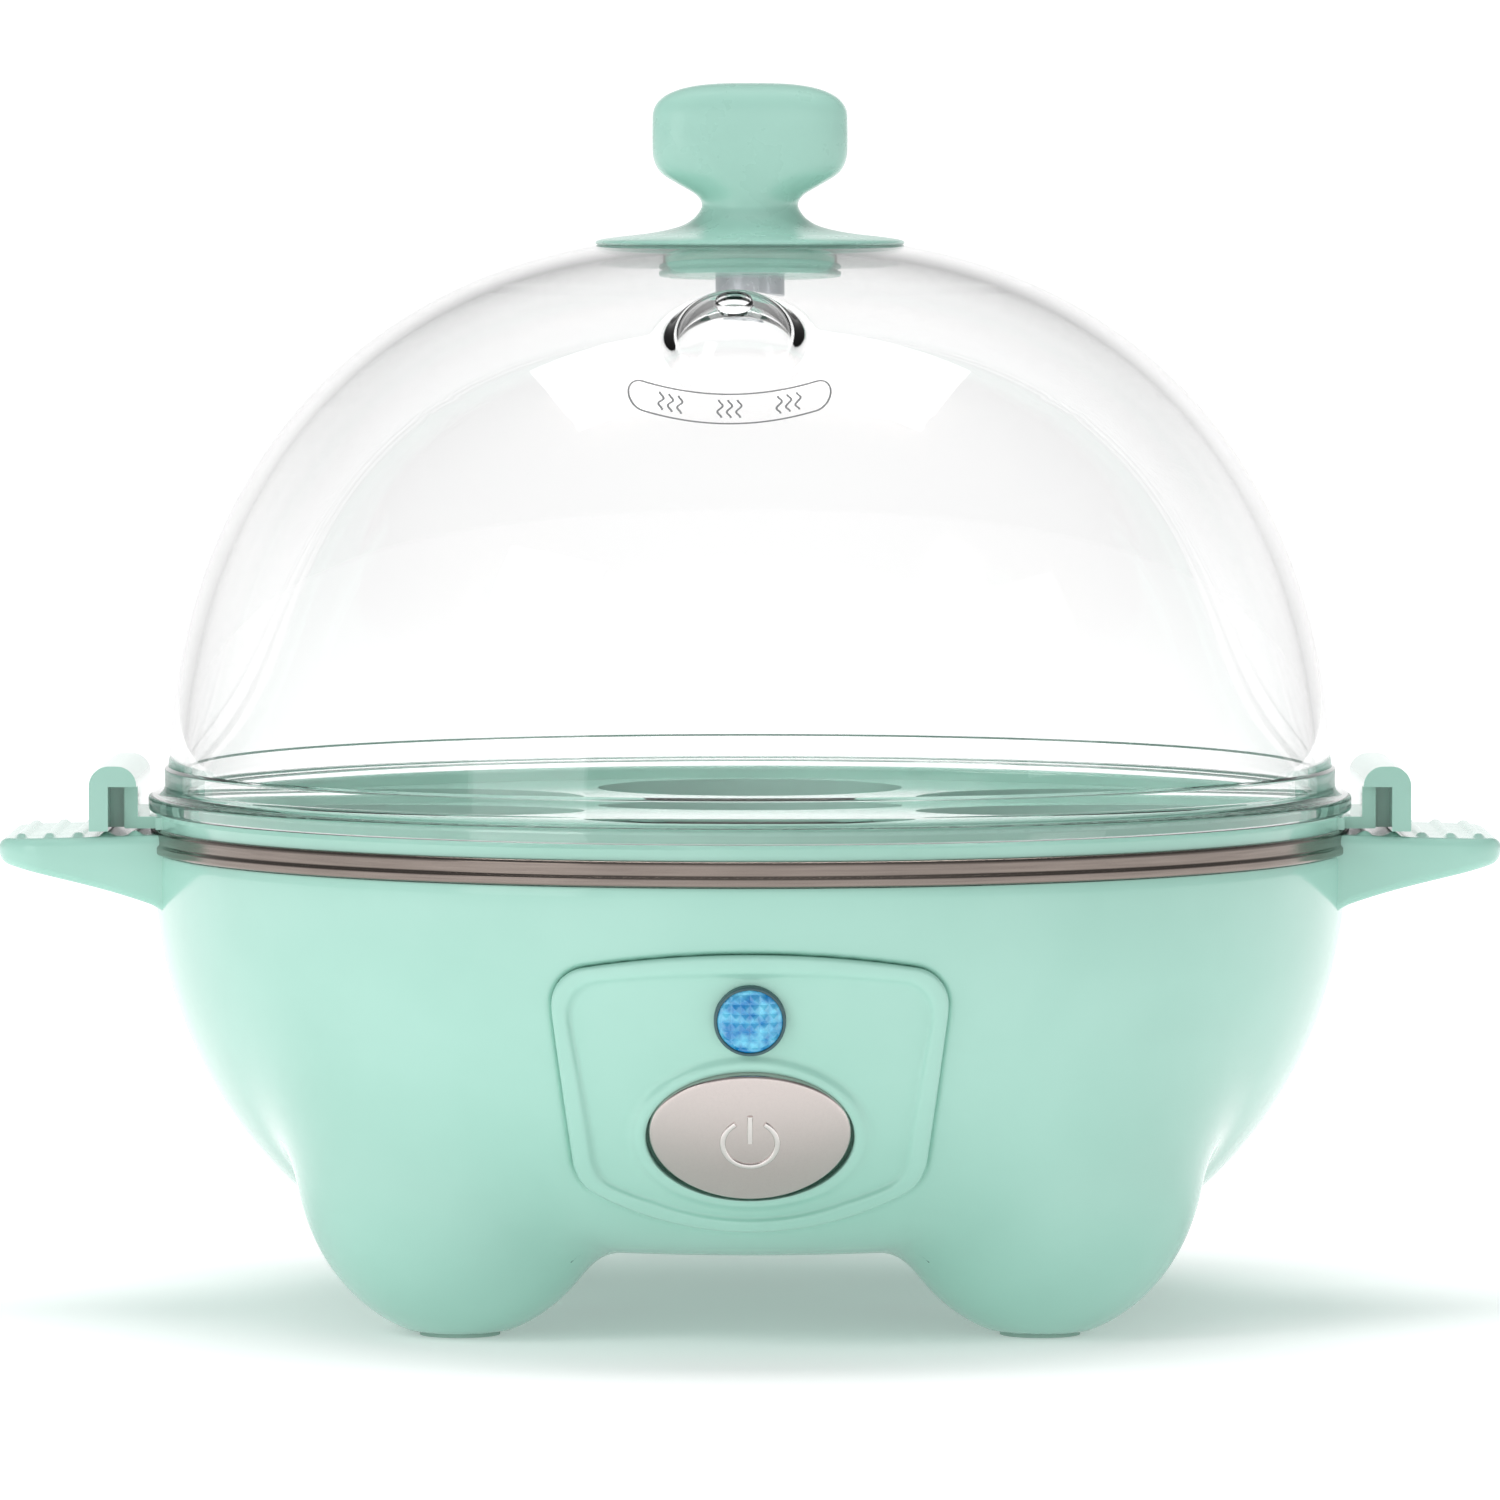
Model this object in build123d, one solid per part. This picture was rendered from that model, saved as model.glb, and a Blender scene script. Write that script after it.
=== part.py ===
"""Egg cooker: a bowl-shaped base with a steel heating plate, a lift-out egg tray and a clear domed lid.

Units are millimetres. The origin is on the table under the middle of the cooker, +Z is up and -Y is the
front, where the control panel is. Every function below makes one loose piece in the place where it sits
when the cooker is assembled, with the lid on and the button out.
"""
import os
from math import asin, cos, degrees, floor, pi, radians, sin, sqrt

from build123d import *

# ---- base housing ----
HOUSING_R = 76.0        # radius of the housing where it is widest, just under its mouth
RIM_Z = 58.3            # height of the housing's mouth
MOUTH_DROP = 2.8        # the widest point lies this far under the mouth
BELLY_R = 51.0          # radius of the flat belly, which is also the ring the four feet stand on
BELLY_Z = 10.3          # underside of the belly
WALL = 2.4              # moulded wall of the housing

# ---- feet ----
FOOT_COUNT = 4
LOBE_R = 20.6           # each foot is half an ellipsoid: its radius ...
LOBE_HALF_H = 24.2      # ... and its vertical half axis
LOBE_SINK = 0.6         # the ellipsoid's tip would reach this far under the table
PAD_R = 5.0             # rubber pad let into the sole of each foot
PAD_T = 1.6
PAD_PROUD = 0.6         # the pad stands out of the sole by this much
SOLE_T = 2.0            # plastic left above the pad

# ---- side wings of the housing ----
WING_REACH = 19.0       # from the housing's widest radius to the wing's tip
WING_W = 34.0
WING_RISE = 2.6         # the wing's top lies this far above the mouth
WING_FALL = 0.6         # and slopes down by this much to the tip
WING_TIP_T = 2.9
WING_ROOT_T = 9.2
WING_CORNER = 6.0
RIDGE_COUNT = 3
RIDGE_PITCH = 3.6
RIDGE_W = 1.2
RIDGE_H = 0.5

# ---- heating plate ----
PAN_T = 0.8             # pressed steel sheet
BAND_H = 3.2            # height of the bright band round the mouth
BAND_PROUD = 0.3        # band beyond the housing's radius
BEAD_R = 0.6            # rolled bead along the band's lower edge
PAN_GAP = 0.5           # between the plate's wall and the housing
PAN_DEPTH = 11.5
PAN_FLARE = 3.3         # the wall leans in by this much
PAN_CORNER = 2.5
GASKET_GAP = 0.2
SPREADER_T = 2.0
SPREADER_MARGIN = 21.0  # the spreader's edge inside the plate's floor
ELEMENT_D = 6.5
ELEMENT_MARGIN = 7.0    # the element's ring inside the spreader's edge
ELEMENT_GAP_DEG = 50.0  # open stretch of the ring, at the back
TERMINAL_D = 3.0
TERMINAL_L = 9.0
THERMOSTAT_R = 10.0
THERMOSTAT_H = 6.5
FUSE_D = 4.2
FUSE_L = 13.0
STRAP_T = 0.8           # sheet of the two clips

# ---- bottom cover and its fixings ----
COVER_MARGIN = 0.6      # between the cover's edge and the feet's inner edge
COVER_GAP = 0.3
COVER_T = 2.0
LEDGE_W = 3.0
LEDGE_T = 2.0
POST_D = 7.0
POST_INSET = 8.0        # the posts inside the cover's edge
POST_COUNT = 3
BOSS_D = 10.0
BOSS_H = 5.6
SCREW_R = 1.5           # thread radius of the cover's screws
SCREW_L = 14.0
HEAD_R = 3.0
HEAD_H = 2.0
SCREW_GAP = 0.3         # clearance round a screw and its head

# ---- control panel ----
PANEL_DROP = 8.1        # panel's top edge under the mouth
PANEL_RISE = 4.8        # panel's bottom edge over the belly
PANEL_W_TOP = 49.2
PANEL_W_LOW = 42.4
PANEL_ARCH = 2.6        # rise of the arched top edge
PANEL_BOWL = 6.2        # fall of the rounded bottom edge
PANEL_CORNER = 4.6
PANEL_PROUD = 0.8       # panel beyond the housing near its top
PANEL_EASE = 4.6        # the panel's upright arc is this much flatter than the housing's
PANEL_GAP = 0.25        # joint line round the panel
PANEL_SINK = 0.8        # face inside the border
BORDER_W = 2.3
LIP_W = 1.7             # raised lip round the button
LIP_H = 0.8
LENS_R = 4.1
LENS_TOP = 4.0          # from the panel's top edge to the lens
LENS_GAP = 0.15
LENS_FLANGE = 0.8
LENS_FLANGE_T = 0.8
LENS_DOME = 1.1
LENS_DEPTH = 4.0
BUTTON_W = 24.6
BUTTON_UNDER_LENS = 2.5  # between lens and button, along the panel
BUTTON_LOW = 4.6         # between button and panel's bottom edge
BUTTON_GAP = 0.3
BUTTON_DOME_R = 34.0
BUTTON_PROUD = 1.4
BUTTON_TRAVEL = 2.0
BUTTON_DEPTH = 5.6       # depth of the cap behind the panel's face
BUTTON_FLANGE = 1.1      # width of the flange that keeps the button in
FLANGE_T = 1.2
SYMBOL_R = 3.0
SYMBOL_W = 0.7
SYMBOL_H = 0.25
STEM_R = 2.2
STEM_GAP = 0.25
SPRING_R = 3.9
SPRING_WIRE = 0.5
SPRING_TURNS = 3
SWITCH_W = 15.0
SWITCH_H = 10.0
SWITCH_L = 8.5
BRACKET_T = 1.6
BRACKET_H = 12.0
PILLAR_D = 5.0
PILLAR_OUT = 3.6         # pillar's axis beyond the button's hole
PANEL_SCREW_R = 1.1
PANEL_SCREW_L = 5.0
PANEL_HEAD_R = 2.2
PANEL_HEAD_H = 1.5
BOARD_W = 18.0
BOARD_H = 6.0
BOARD_T = 1.2
LAMP_R = 1.6

# ---- mains side ----
GLAND_RISE = 11.7        # gland's axis over the belly
GLAND_R = 5.2
GLAND_BORE_R = 3.4
GLAND_FLANGE = 1.8
GLAND_FLANGE_T = 1.8
GLAND_NOSE = 3.0
GLAND_BACK = 9.0
GLAND_GAP = 0.15
NUT_T = 2.5
NUT_FLANGE = 2.4
BLOCK_L = 18.0
BLOCK_W = 9.0
BLOCK_H = 8.0
LEAD_D = 2.0

# ---- egg tray ----
TRAY_INSET = 0.6         # tray's rim inside the band
TRAY_RIM_T = 1.9
TRAY_DECK_T = 1.8
TRAY_STEP = 0.3          # deck under the rim's top
TRAY_SKIRT = 1.7         # skirt inside the plate's wall
TRAY_SKIRT_H = 3.5
TRAY_SKIRT_T = 1.6
LIP_GAP = 0.7            # between the lid and the tray's locating lip
TRAY_LIP_T = 1.5
TRAY_LIP_H = 1.4
SEAT_R = 20.3            # opening for one egg
SEAT_LAND = 1.6          # deck left outside an opening
SEAT_WEB = 5.0           # least deck left between two openings
SEAT_COLLAR_T = 1.4
SEAT_COLLAR_H = 3.4
FINGER_COUNT = 4
FINGER_W = 2.4
FINGER_REACH = 3.9       # the fingers that hold the egg reach in this far
FINGER_T = 2.0
GRIP_GAP = 0.7           # between the tray's grips and the lid's flange
GRIP_DEPTH = 6.0         # grip's size away from the lid
GRIP_W = 32.0
GRIP_H = 8.0             # grip's top over the band's top
GRIP_BAR_T = 2.6
GRIP_LEG_T = 2.4
GRIP_ROOT_T = 1.7
GRIP_ROOT_W = 26.0
GRIP_WEB_T = 20.0
GRIP_CORNER = 2.5
GRIP_OVER_WING = 0.4

# ---- lid ----
DOME_R = 74.4            # the dome is a superellipse: its half width ...
DOME_RISE = 77.2         # ... its height over its own middle ...
DOME_POWER = 2.333       # ... and its exponent
DOME_SINK = 4.1          # its middle lies this far under the lid's seat
DOME_T = 2.0
DOME_POINTS = 12
FLANGE_R = 76.6
LID_FLANGE_T = 2.0
LID_FILLET = 1.2
LID_TURN = 2.4           # the lid stands turned by this angle, degrees
VENT_R = 9.6             # steam vent: a hollow bubble on the dome
VENT_REACH = 46.5        # bubble's distance from the axis
VENT_SINK = 4.8          # its centre under the dome's surface
VENT_WALL = 1.7
VENT_HOLE_R = 2.2
VENT_HOLE_BACK = 2.0     # the hole lies this far behind the bubble's middle
KNOB_SKIRT_R = 19.7
KNOB_SKIRT_T = 1.2
KNOB_NECK_R = 6.3
KNOB_NECK_UP = 4.6       # narrowest neck over the dome's top
KNOB_HEAD_W = 24.8
KNOB_HEAD_T = 12.6
KNOB_TOP = 19.1          # knob's top over the dome's top
KNOB_CROWN = 3.0
KNOB_SIDE = 6.6          # upright side of the head
KNOB_CORNER = 2.2
KNOB_BORE_R = 1.6
COLLAR_R = 11.6
COLLAR_T = 1.7
COLLAR_GROOVE = 0.4
SEAL_INSET = 0.5
SEAL_T = 1.0
DOME_GAP = 0.03          # between the dome and what lies on it
KNOB_SCREW_HEAD_R = 4.4
KNOB_SCREW_HEAD_H = 2.2
KNOB_SCREW_R = 1.5
KNOB_SCREW_L = 12.0
HOLE_GAP = 0.3

# ---- places worked out from the sizes above ----
WIDEST_Z = RIM_Z - MOUTH_DROP
SIDE_RUN = HOUSING_R - BELLY_R
SIDE_RISE = WIDEST_Z - BELLY_Z
SIDE_ARC_R = (SIDE_RUN**2 + SIDE_RISE**2) / (2 * SIDE_RUN)
SIDE_ARC_X = HOUSING_R - SIDE_ARC_R
FLOOR_Z = BELLY_Z + WALL
LOBE_Z = LOBE_HALF_H - LOBE_SINK
FOOT_FLOOR_Z = PAD_T + SOLE_T

BAND_TOP = RIM_Z + BAND_H
BAND_R = HOUSING_R + BAND_PROUD
BEAD_OUT = BAND_R + BEAD_R / 2
PAN_WALL_R = HOUSING_R - WALL - PAN_GAP - PAN_T
PAN_FLOOR_R = PAN_WALL_R - PAN_FLARE
PAN_FLOOR_Z = BAND_TOP - PAN_DEPTH
PAN_UNDER_Z = PAN_FLOOR_Z - PAN_T
SPREADER_R = PAN_FLOOR_R - SPREADER_MARGIN
SPREADER_Z = PAN_UNDER_Z - SPREADER_T
ELEMENT_RING_R = SPREADER_R - ELEMENT_MARGIN
ELEMENT_Z = SPREADER_Z - ELEMENT_D / 2

COVER_R = BELLY_R - LOBE_R - COVER_MARGIN
POST_RING_R = COVER_R - POST_INSET
BOSS_TOP = BELLY_Z + BOSS_H
HEAD_Z = BELLY_Z + HEAD_H + SCREW_GAP

PANEL_TOP = RIM_Z - PANEL_DROP
PANEL_LOW = BELLY_Z + PANEL_RISE
PANEL_ARC_R = SIDE_ARC_R + PANEL_EASE
PANEL_ARC_X = SIDE_ARC_X - PANEL_EASE + PANEL_PROUD
LENS_Z = PANEL_TOP - LENS_TOP - LENS_R
BUTTON_TOP = LENS_Z - LENS_R - BUTTON_UNDER_LENS
BUTTON_BOTTOM = PANEL_LOW + BUTTON_LOW
BUTTON_Z = (BUTTON_TOP + BUTTON_BOTTOM) / 2
BUTTON_TILT = degrees(asin((WIDEST_Z - BUTTON_Z) / PANEL_ARC_R))
BUTTON_H = (BUTTON_TOP - BUTTON_BOTTOM) / cos(radians(BUTTON_TILT))
FLANGE_BACK = -BUTTON_DEPTH - FLANGE_T
BRACKET_FRONT = FLANGE_BACK - BUTTON_TRAVEL - 3 * SPRING_WIRE
SWITCH_FRONT = BRACKET_FRONT - BRACKET_T
PILLAR_X = BUTTON_W / 2 + BUTTON_GAP + PILLAR_OUT

TRAY_R = BAND_R - TRAY_INSET
TRAY_TOP = BAND_TOP + TRAY_RIM_T
DECK_TOP = TRAY_TOP - TRAY_STEP
DECK_LOW = DECK_TOP - TRAY_DECK_T
LID_FOOT_R = DOME_R - DOME_T
TRAY_LIP_R = LID_FOOT_R - LIP_GAP
SEAT_RING_R = TRAY_LIP_R - TRAY_LIP_T - SEAT_LAND - SEAT_R
SEAT_COUNT = floor(pi / asin((SEAT_R + SEAT_WEB / 2) / SEAT_RING_R))
SKIRT_R = PAN_WALL_R - TRAY_SKIRT
GRIP_IN = max(FLANGE_R, BEAD_OUT) + GRIP_GAP
GRIP_OUT = GRIP_IN + GRIP_DEPTH
GRIP_TOP = BAND_TOP + GRIP_H
WING_TOP = RIM_Z + WING_RISE
WING_TIP = HOUSING_R + WING_REACH

DOME_Z = TRAY_TOP - DOME_SINK
DOME_TOP = DOME_Z + DOME_RISE
DOME_IN_TOP = DOME_TOP - DOME_T


def side_radius(z, inset=0.0):
    """Radius of the housing's curved side at height z, moved inwards by inset."""
    return SIDE_ARC_X + sqrt((SIDE_ARC_R - inset)**2 - (z - WIDEST_Z)**2)


def panel_radius(z, offset=0.0):
    """Radius of the control panel's front at height z, moved outwards by offset."""
    return PANEL_ARC_X + sqrt((PANEL_ARC_R + offset)**2 - (z - WIDEST_Z)**2)


def dome_height(r, inset=0.0):
    """Height of the dome's superellipse at distance r from the axis, moved inwards by inset."""
    half, rise = DOME_R - inset, DOME_RISE - inset
    return DOME_Z + rise * (1 - (r / half)**DOME_POWER)**(1 / DOME_POWER)


def turned(shape, count, first=0.0):
    """A list of count copies of shape, spread evenly round the Z axis."""
    return [Rot(0, 0, first + 360 * i / count) * shape for i in range(count)]


def spun(points, corners=()):
    """A solid of revolution from an outline of (r, z) points; corners lists (index, fillet radius)."""
    face = make_face(Polyline(*[(r, 0, z) for r, z in points], close=True))
    for index, radius in corners:
        r, z = points[index]
        face = fillet(face.vertices().sort_by_distance((r, 0, z))[:1], radius)
    return revolve(face, Axis.Z)


def disc(radius, low, high):
    """An upright cylinder on the axis between two heights."""
    return Pos(0, 0, (low + high) / 2) * Cylinder(radius, high - low)


def ring(outer, inner, low, high):
    """A flat ring on the axis between two heights."""
    return disc(outer, low, high) - disc(inner, low - 1, high + 1)


def curved_drum(arc_radius, low, high):
    """A solid of revolution between two heights whose side is the arc given by arc_radius(z)."""
    middle = (low + high) / 2
    side = ThreePointArc((arc_radius(low), 0, low), (arc_radius(middle), 0, middle),
                         (arc_radius(high), 0, high))
    rest = Polyline((arc_radius(high), 0, high), (0, 0, high), (0, 0, low), (arc_radius(low), 0, low))
    return revolve(make_face(side.edges() + rest.edges()), Axis.Z)


def panel_plane(z):
    """Plane on the panel's front at height z, facing out of it, with x to the right."""
    tilt = asin((WIDEST_Z - z) / PANEL_ARC_R)
    return Plane((0, -panel_radius(z), z), x_dir=(1, 0, 0), z_dir=(0, -cos(tilt), -sin(tilt)))


def facing(plane, sketch, low, high):
    """Extrude a flat shape, drawn on the plane, between two distances in front of the plane."""
    return plane * (Pos(0, 0, low) * extrude(sketch, high - low))


# ---------------------------------------------------------------- base
def foot_lobe(inset, floor_z):
    """The ellipsoid of one foot, made smaller by inset all round and cut flat at floor_z."""
    radius, half = LOBE_R - inset, LOBE_HALF_H - inset
    arc = Plane.XZ * EllipticalCenterArc((0, 0), radius, half, start_angle=-90, arc_size=180)
    body = revolve(make_face(arc.edges() + Line((0, 0, -half), (0, 0, half)).edges()), Axis.Z)
    body = Pos(BELLY_R, 0, LOBE_Z) * body
    return body - Pos(BELLY_R, 0, floor_z - LOBE_HALF_H) * Box(4 * LOBE_R, 4 * LOBE_R, 2 * LOBE_HALF_H)


def wing():
    """The ribbed side handle on the +X side, reaching inside the housing's wall."""
    root = HOUSING_R - WALL
    outline = [(root, WING_TOP), (WING_TIP, WING_TOP - WING_FALL),
               (WING_TIP, WING_TOP - WING_FALL - WING_TIP_T), (root, WING_TOP - WING_ROOT_T - WALL / 2)]
    side = make_face(Polyline(*[(x, 0, z) for x, z in outline], close=True))
    tip = side.vertices().sort_by(Axis.X)[-2:]
    body = extrude(fillet(tip, WING_TIP_T * 0.4), WING_W / 2, both=True)
    plan = Pos((root + WING_TIP) / 2, 0) * Rectangle(WING_TIP - root, WING_W)
    plan = fillet(plan.vertices().sort_by(Axis.X)[-2:], WING_CORNER)
    body = body & Pos(0, 0, WING_TOP - 2 * WING_ROOT_T) * extrude(plan, 3 * WING_ROOT_T)
    for i in range(RIDGE_COUNT):
        x = WING_TIP - RIDGE_PITCH / 2 - RIDGE_W - i * RIDGE_PITCH
        fall = WING_FALL * (x - root) / (WING_TIP - root)
        ridge = Box(RIDGE_W, WING_W - 2 * WING_CORNER * (1 if i == 0 else 0.6), 2 * RIDGE_H)
        body += Pos(x, 0, WING_TOP - fall) * ridge
    return body


def panel_outline(grow=0.0):
    """Front outline of the control panel, grown by a margin, as a face in the XZ plane."""
    top, low = PANEL_TOP + grow, PANEL_LOW - grow
    wide, narrow = PANEL_W_TOP / 2 + grow, PANEL_W_LOW / 2 + grow
    corners = [(-wide, top - PANEL_ARCH), (wide, top - PANEL_ARCH),
               (narrow, low + PANEL_BOWL), (-narrow, low + PANEL_BOWL)]
    a, b, c, d = [(x, 0, z) for x, z in corners]
    edges = [ThreePointArc(a, (0, 0, top), b), Line(b, c), ThreePointArc(c, (0, 0, low), d), Line(d, a)]
    face = make_face([edge.edge() for edge in edges])
    return fillet(face.vertices(), PANEL_CORNER + grow)


def panel_prism(grow=0.0):
    """The panel's outline carried straight back from in front of the cooker to its middle."""
    return extrude(panel_outline(grow), 2 * HOUSING_R, dir=(0, -1, 0))


def base_housing():
    """One-piece moulded bowl with four hollow feet, two wings and a ledge for the bottom cover."""
    outer = curved_drum(side_radius, BELLY_Z, RIM_Z)
    outer += turned(foot_lobe(0, PAD_PROUD), FOOT_COUNT, 45)
    outer += turned(wing(), 2)
    outer -= disc(BEAD_OUT + GASKET_GAP, RIM_Z, WING_TOP + 1)
    hollow = curved_drum(lambda z: side_radius(z, WALL), FLOOR_Z, RIM_Z + 1)
    hollow += turned(foot_lobe(WALL, FOOT_FLOOR_Z), FOOT_COUNT, 45)
    body = outer - hollow
    opening = COVER_R + COVER_GAP
    body += ring(opening + LEDGE_T, opening - LEDGE_W, BELLY_Z + COVER_T, BELLY_Z + COVER_T + LEDGE_T)
    body -= disc(opening, BELLY_Z - 1, BELLY_Z + COVER_T)
    body -= disc(opening - LEDGE_W, BELLY_Z - 1, FLOOR_Z + 1)
    body -= panel_prism(PANEL_GAP)
    body -= gland_hole()
    for pocket in turned(Pos(BELLY_R, 0, 0) * disc(PAD_R, -1, PAD_T), FOOT_COUNT, 45):
        body -= pocket
    return body


def foot_pads():
    """The four rubber pads, each in its own pocket under a foot."""
    return turned(Pos(BELLY_R, 0, 0) * disc(PAD_R, 0, PAD_T), FOOT_COUNT, 45)


def post_places():
    """Places of the three posts that tie the heating plate to the bottom cover."""
    turns = [radians(90 + 360 * i / POST_COUNT) for i in range(POST_COUNT)]
    return [Pos(POST_RING_R * cos(turn), POST_RING_R * sin(turn), 0) for turn in turns]


def bottom_cover():
    """Round cover under the belly, with a boss and a sunk screw hole under each post."""
    body = disc(COVER_R, BELLY_Z, BELLY_Z + COVER_T)
    for place in post_places():
        body += place * disc(BOSS_D / 2, BELLY_Z, BOSS_TOP)
        body -= place * disc(SCREW_R + SCREW_GAP, BELLY_Z - 1, BOSS_TOP + 1)
        body -= place * disc(HEAD_R + SCREW_GAP, BELLY_Z - 1, HEAD_Z)
    return body


def cover_screws():
    """Three pan-head screws that go up through the cover into the posts."""
    head = disc(HEAD_R, HEAD_Z - HEAD_H, HEAD_Z) - disc(HEAD_R / 2, HEAD_Z - HEAD_H - 1, HEAD_Z - HEAD_H / 2)
    screw = head + disc(SCREW_R, HEAD_Z, HEAD_Z + SCREW_L)
    return Compound(children=[place * screw for place in post_places()])


def plate_posts():
    """Round spacers from the cover's bosses to the heating plate, bored for the screws."""
    bore_top = HEAD_Z + SCREW_L + SCREW_GAP
    post = disc(POST_D / 2, BOSS_TOP, SPREADER_Z) - disc(SCREW_R + 0.05, BOSS_TOP - 1, bore_top)
    return [place * post for place in post_places()]


# ---------------------------------------------------------------- heating plate
def heating_plate():
    """Pressed steel dish with its band round the housing's mouth and a rolled bead under the band."""
    path = [(BAND_R, RIM_Z), (BAND_R, BAND_TOP), (PAN_WALL_R, BAND_TOP),
            (PAN_FLOOR_R, PAN_FLOOR_Z), (0, PAN_FLOOR_Z)]
    lean = PAN_T * sqrt(PAN_FLARE**2 + PAN_DEPTH**2) / PAN_DEPTH
    slope = PAN_FLARE / PAN_DEPTH
    back = [(0, PAN_UNDER_Z), (PAN_FLOOR_R - slope * PAN_T + lean, PAN_UNDER_Z),
            (PAN_WALL_R - slope * PAN_T + lean, BAND_TOP - PAN_T), (BAND_R - PAN_T, BAND_TOP - PAN_T),
            (BAND_R - PAN_T, RIM_Z)]
    bend = PAN_CORNER + PAN_T
    body = spun(path + back, [(1, PAN_T), (2, PAN_T), (3, PAN_CORNER), (6, bend)])
    bead = Pos(BAND_R - BEAD_R / 2, 0, RIM_Z + BEAD_R) * (Plane.XZ * Circle(BEAD_R))
    return body + revolve(bead, Axis.Z)


def rim_gasket():
    """Silicone ring between the housing's mouth and the plate's flange."""
    inner = HOUSING_R - WALL + GASKET_GAP
    return ring(BAND_R - PAN_T - GASKET_GAP, inner, RIM_Z, BAND_TOP - PAN_T)


def heat_spreader():
    """Aluminium disc under the plate's floor."""
    return disc(SPREADER_R, SPREADER_Z, PAN_UNDER_Z)


def element_turns():
    """Start and end of the element's arc in degrees, either side of the back."""
    return 90 + ELEMENT_GAP_DEG / 2, 450 - ELEMENT_GAP_DEG / 2


def heating_element():
    """Tubular element bent into an open ring under the spreader."""
    start, end = element_turns()
    section = Pos(ELEMENT_RING_R, 0, ELEMENT_Z) * (Plane.XZ * Circle(ELEMENT_D / 2))
    return Rot(0, 0, start) * revolve(section, Axis.Z, end - start)


def element_terminals():
    """The two cold pins that stand out of the element's ends."""
    pins = []
    for turn, way in zip(element_turns(), (-1, 1)):
        pin = Pos(ELEMENT_RING_R, way * TERMINAL_L / 2, ELEMENT_Z) * Rot(90, 0, 0)
        pins.append(Rot(0, 0, turn) * (pin * Cylinder(TERMINAL_D / 2, TERMINAL_L)))
    return pins


def thermostat():
    """Snap-disc thermostat pressed against the spreader, with two blade terminals."""
    low = SPREADER_Z - THERMOSTAT_H
    body = disc(THERMOSTAT_R, SPREADER_Z - 1.8, SPREADER_Z) + disc(THERMOSTAT_R * 0.8, low, SPREADER_Z - 1.8)
    for side in (-1, 1):
        body += Pos(side * THERMOSTAT_R * 0.5, 0, low - 2.5) * Box(0.8, 4.8, 5.2)
    return body


def thermostat_clip():
    """Flat spring ring that holds the thermostat's flange up against the spreader."""
    top = SPREADER_Z - 1.8
    plate = ring(THERMOSTAT_R + 2.5, THERMOSTAT_R * 0.8 + 0.3, top - STRAP_T, top)
    wall = ring(THERMOSTAT_R + 2.5, THERMOSTAT_R + 2.5 - STRAP_T, top, SPREADER_Z)
    return plate + wall


def fuse_place():
    """Axis place of the thermal fuse, in front of the thermostat."""
    return Pos(0, -(THERMOSTAT_R + 2.5 + FUSE_D), SPREADER_Z - FUSE_D / 2)


def thermal_fuse():
    """Thermal fuse lying against the spreader, with its two wire ends."""
    return fuse_place() * Rot(0, 90, 0) * (Cylinder(FUSE_D / 2, FUSE_L) + Cylinder(0.5, FUSE_L + 8))


def fuse_clip():
    """Small sheet saddle over the fuse."""
    r = FUSE_D / 2
    saddle = Rot(0, 90, 0) * (Cylinder(r + STRAP_T, 5) - Cylinder(r + 0.02, 6))
    saddle -= Pos(0, 0, r + STRAP_T) * Box(8, 4 * r, 2 * (r + STRAP_T))
    ears = Box(5, 2 * r + 2 * STRAP_T, r) - Box(6, 2 * r + 0.04, 2 * r)
    return fuse_place() * (saddle + Pos(0, 0, r / 2) * ears)


# ---------------------------------------------------------------- control panel
def button_shape(grow=0.0):
    """Elliptical outline of the power button."""
    return Ellipse(BUTTON_W / 2 + grow, BUTTON_H / 2 + grow)


def pillar_places():
    """Places of the panel's two rear pillars on the button's plane."""
    return [Pos(side * PILLAR_X, 0, 0) for side in (-1, 1)]


def panel_bezel():
    """Moulded front panel: raised border, sunk face, lip round the button and two rear pillars."""
    deep = 0.5
    low, high = PANEL_LOW - 1, PANEL_TOP + 1
    skin = curved_drum(panel_radius, low, high)
    skin -= curved_drum(lambda z: side_radius(z, WALL), low - deep, high + deep)
    body = skin & panel_prism()
    sink = curved_drum(lambda z: panel_radius(z, 1), low - deep, high + deep)
    sink -= curved_drum(lambda z: panel_radius(z, -PANEL_SINK), low - 2 * deep, high + 2 * deep)
    body -= sink & panel_prism(-BORDER_W)
    plane = panel_plane(BUTTON_Z)
    lip = facing(plane, button_shape(BUTTON_GAP + LIP_W), -BUTTON_DEPTH / 2, 2)
    body += lip & curved_drum(lambda z: panel_radius(z, LIP_H - PANEL_SINK), low - deep, high + deep)
    for place in pillar_places():
        body += facing(plane, place * Circle(PILLAR_D / 2), BRACKET_FRONT, -PANEL_SINK - WALL)
        hole = place * Circle(PANEL_SCREW_R + 0.05)
        body -= facing(plane, hole, BRACKET_FRONT - 1, BRACKET_FRONT + PANEL_SCREW_L - BRACKET_T)
    body -= facing(plane, button_shape(BUTTON_GAP), -2 * BUTTON_DEPTH, BUTTON_DEPTH)
    pocket = button_shape(BUTTON_FLANGE + 2 * BUTTON_GAP)
    body -= facing(plane, pocket, BRACKET_FRONT - 1, -BUTTON_DEPTH + BUTTON_GAP / 2)
    lens = panel_plane(LENS_Z)
    body -= facing(lens, Circle(LENS_R + LENS_GAP), -2 * LENS_DEPTH, LENS_DEPTH)
    body -= facing(lens, Circle(LENS_R + LENS_FLANGE + LENS_GAP), -2 * LENS_DEPTH,
                   LENS_FLANGE_T + LENS_GAP - LENS_DEPTH)
    return body


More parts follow.
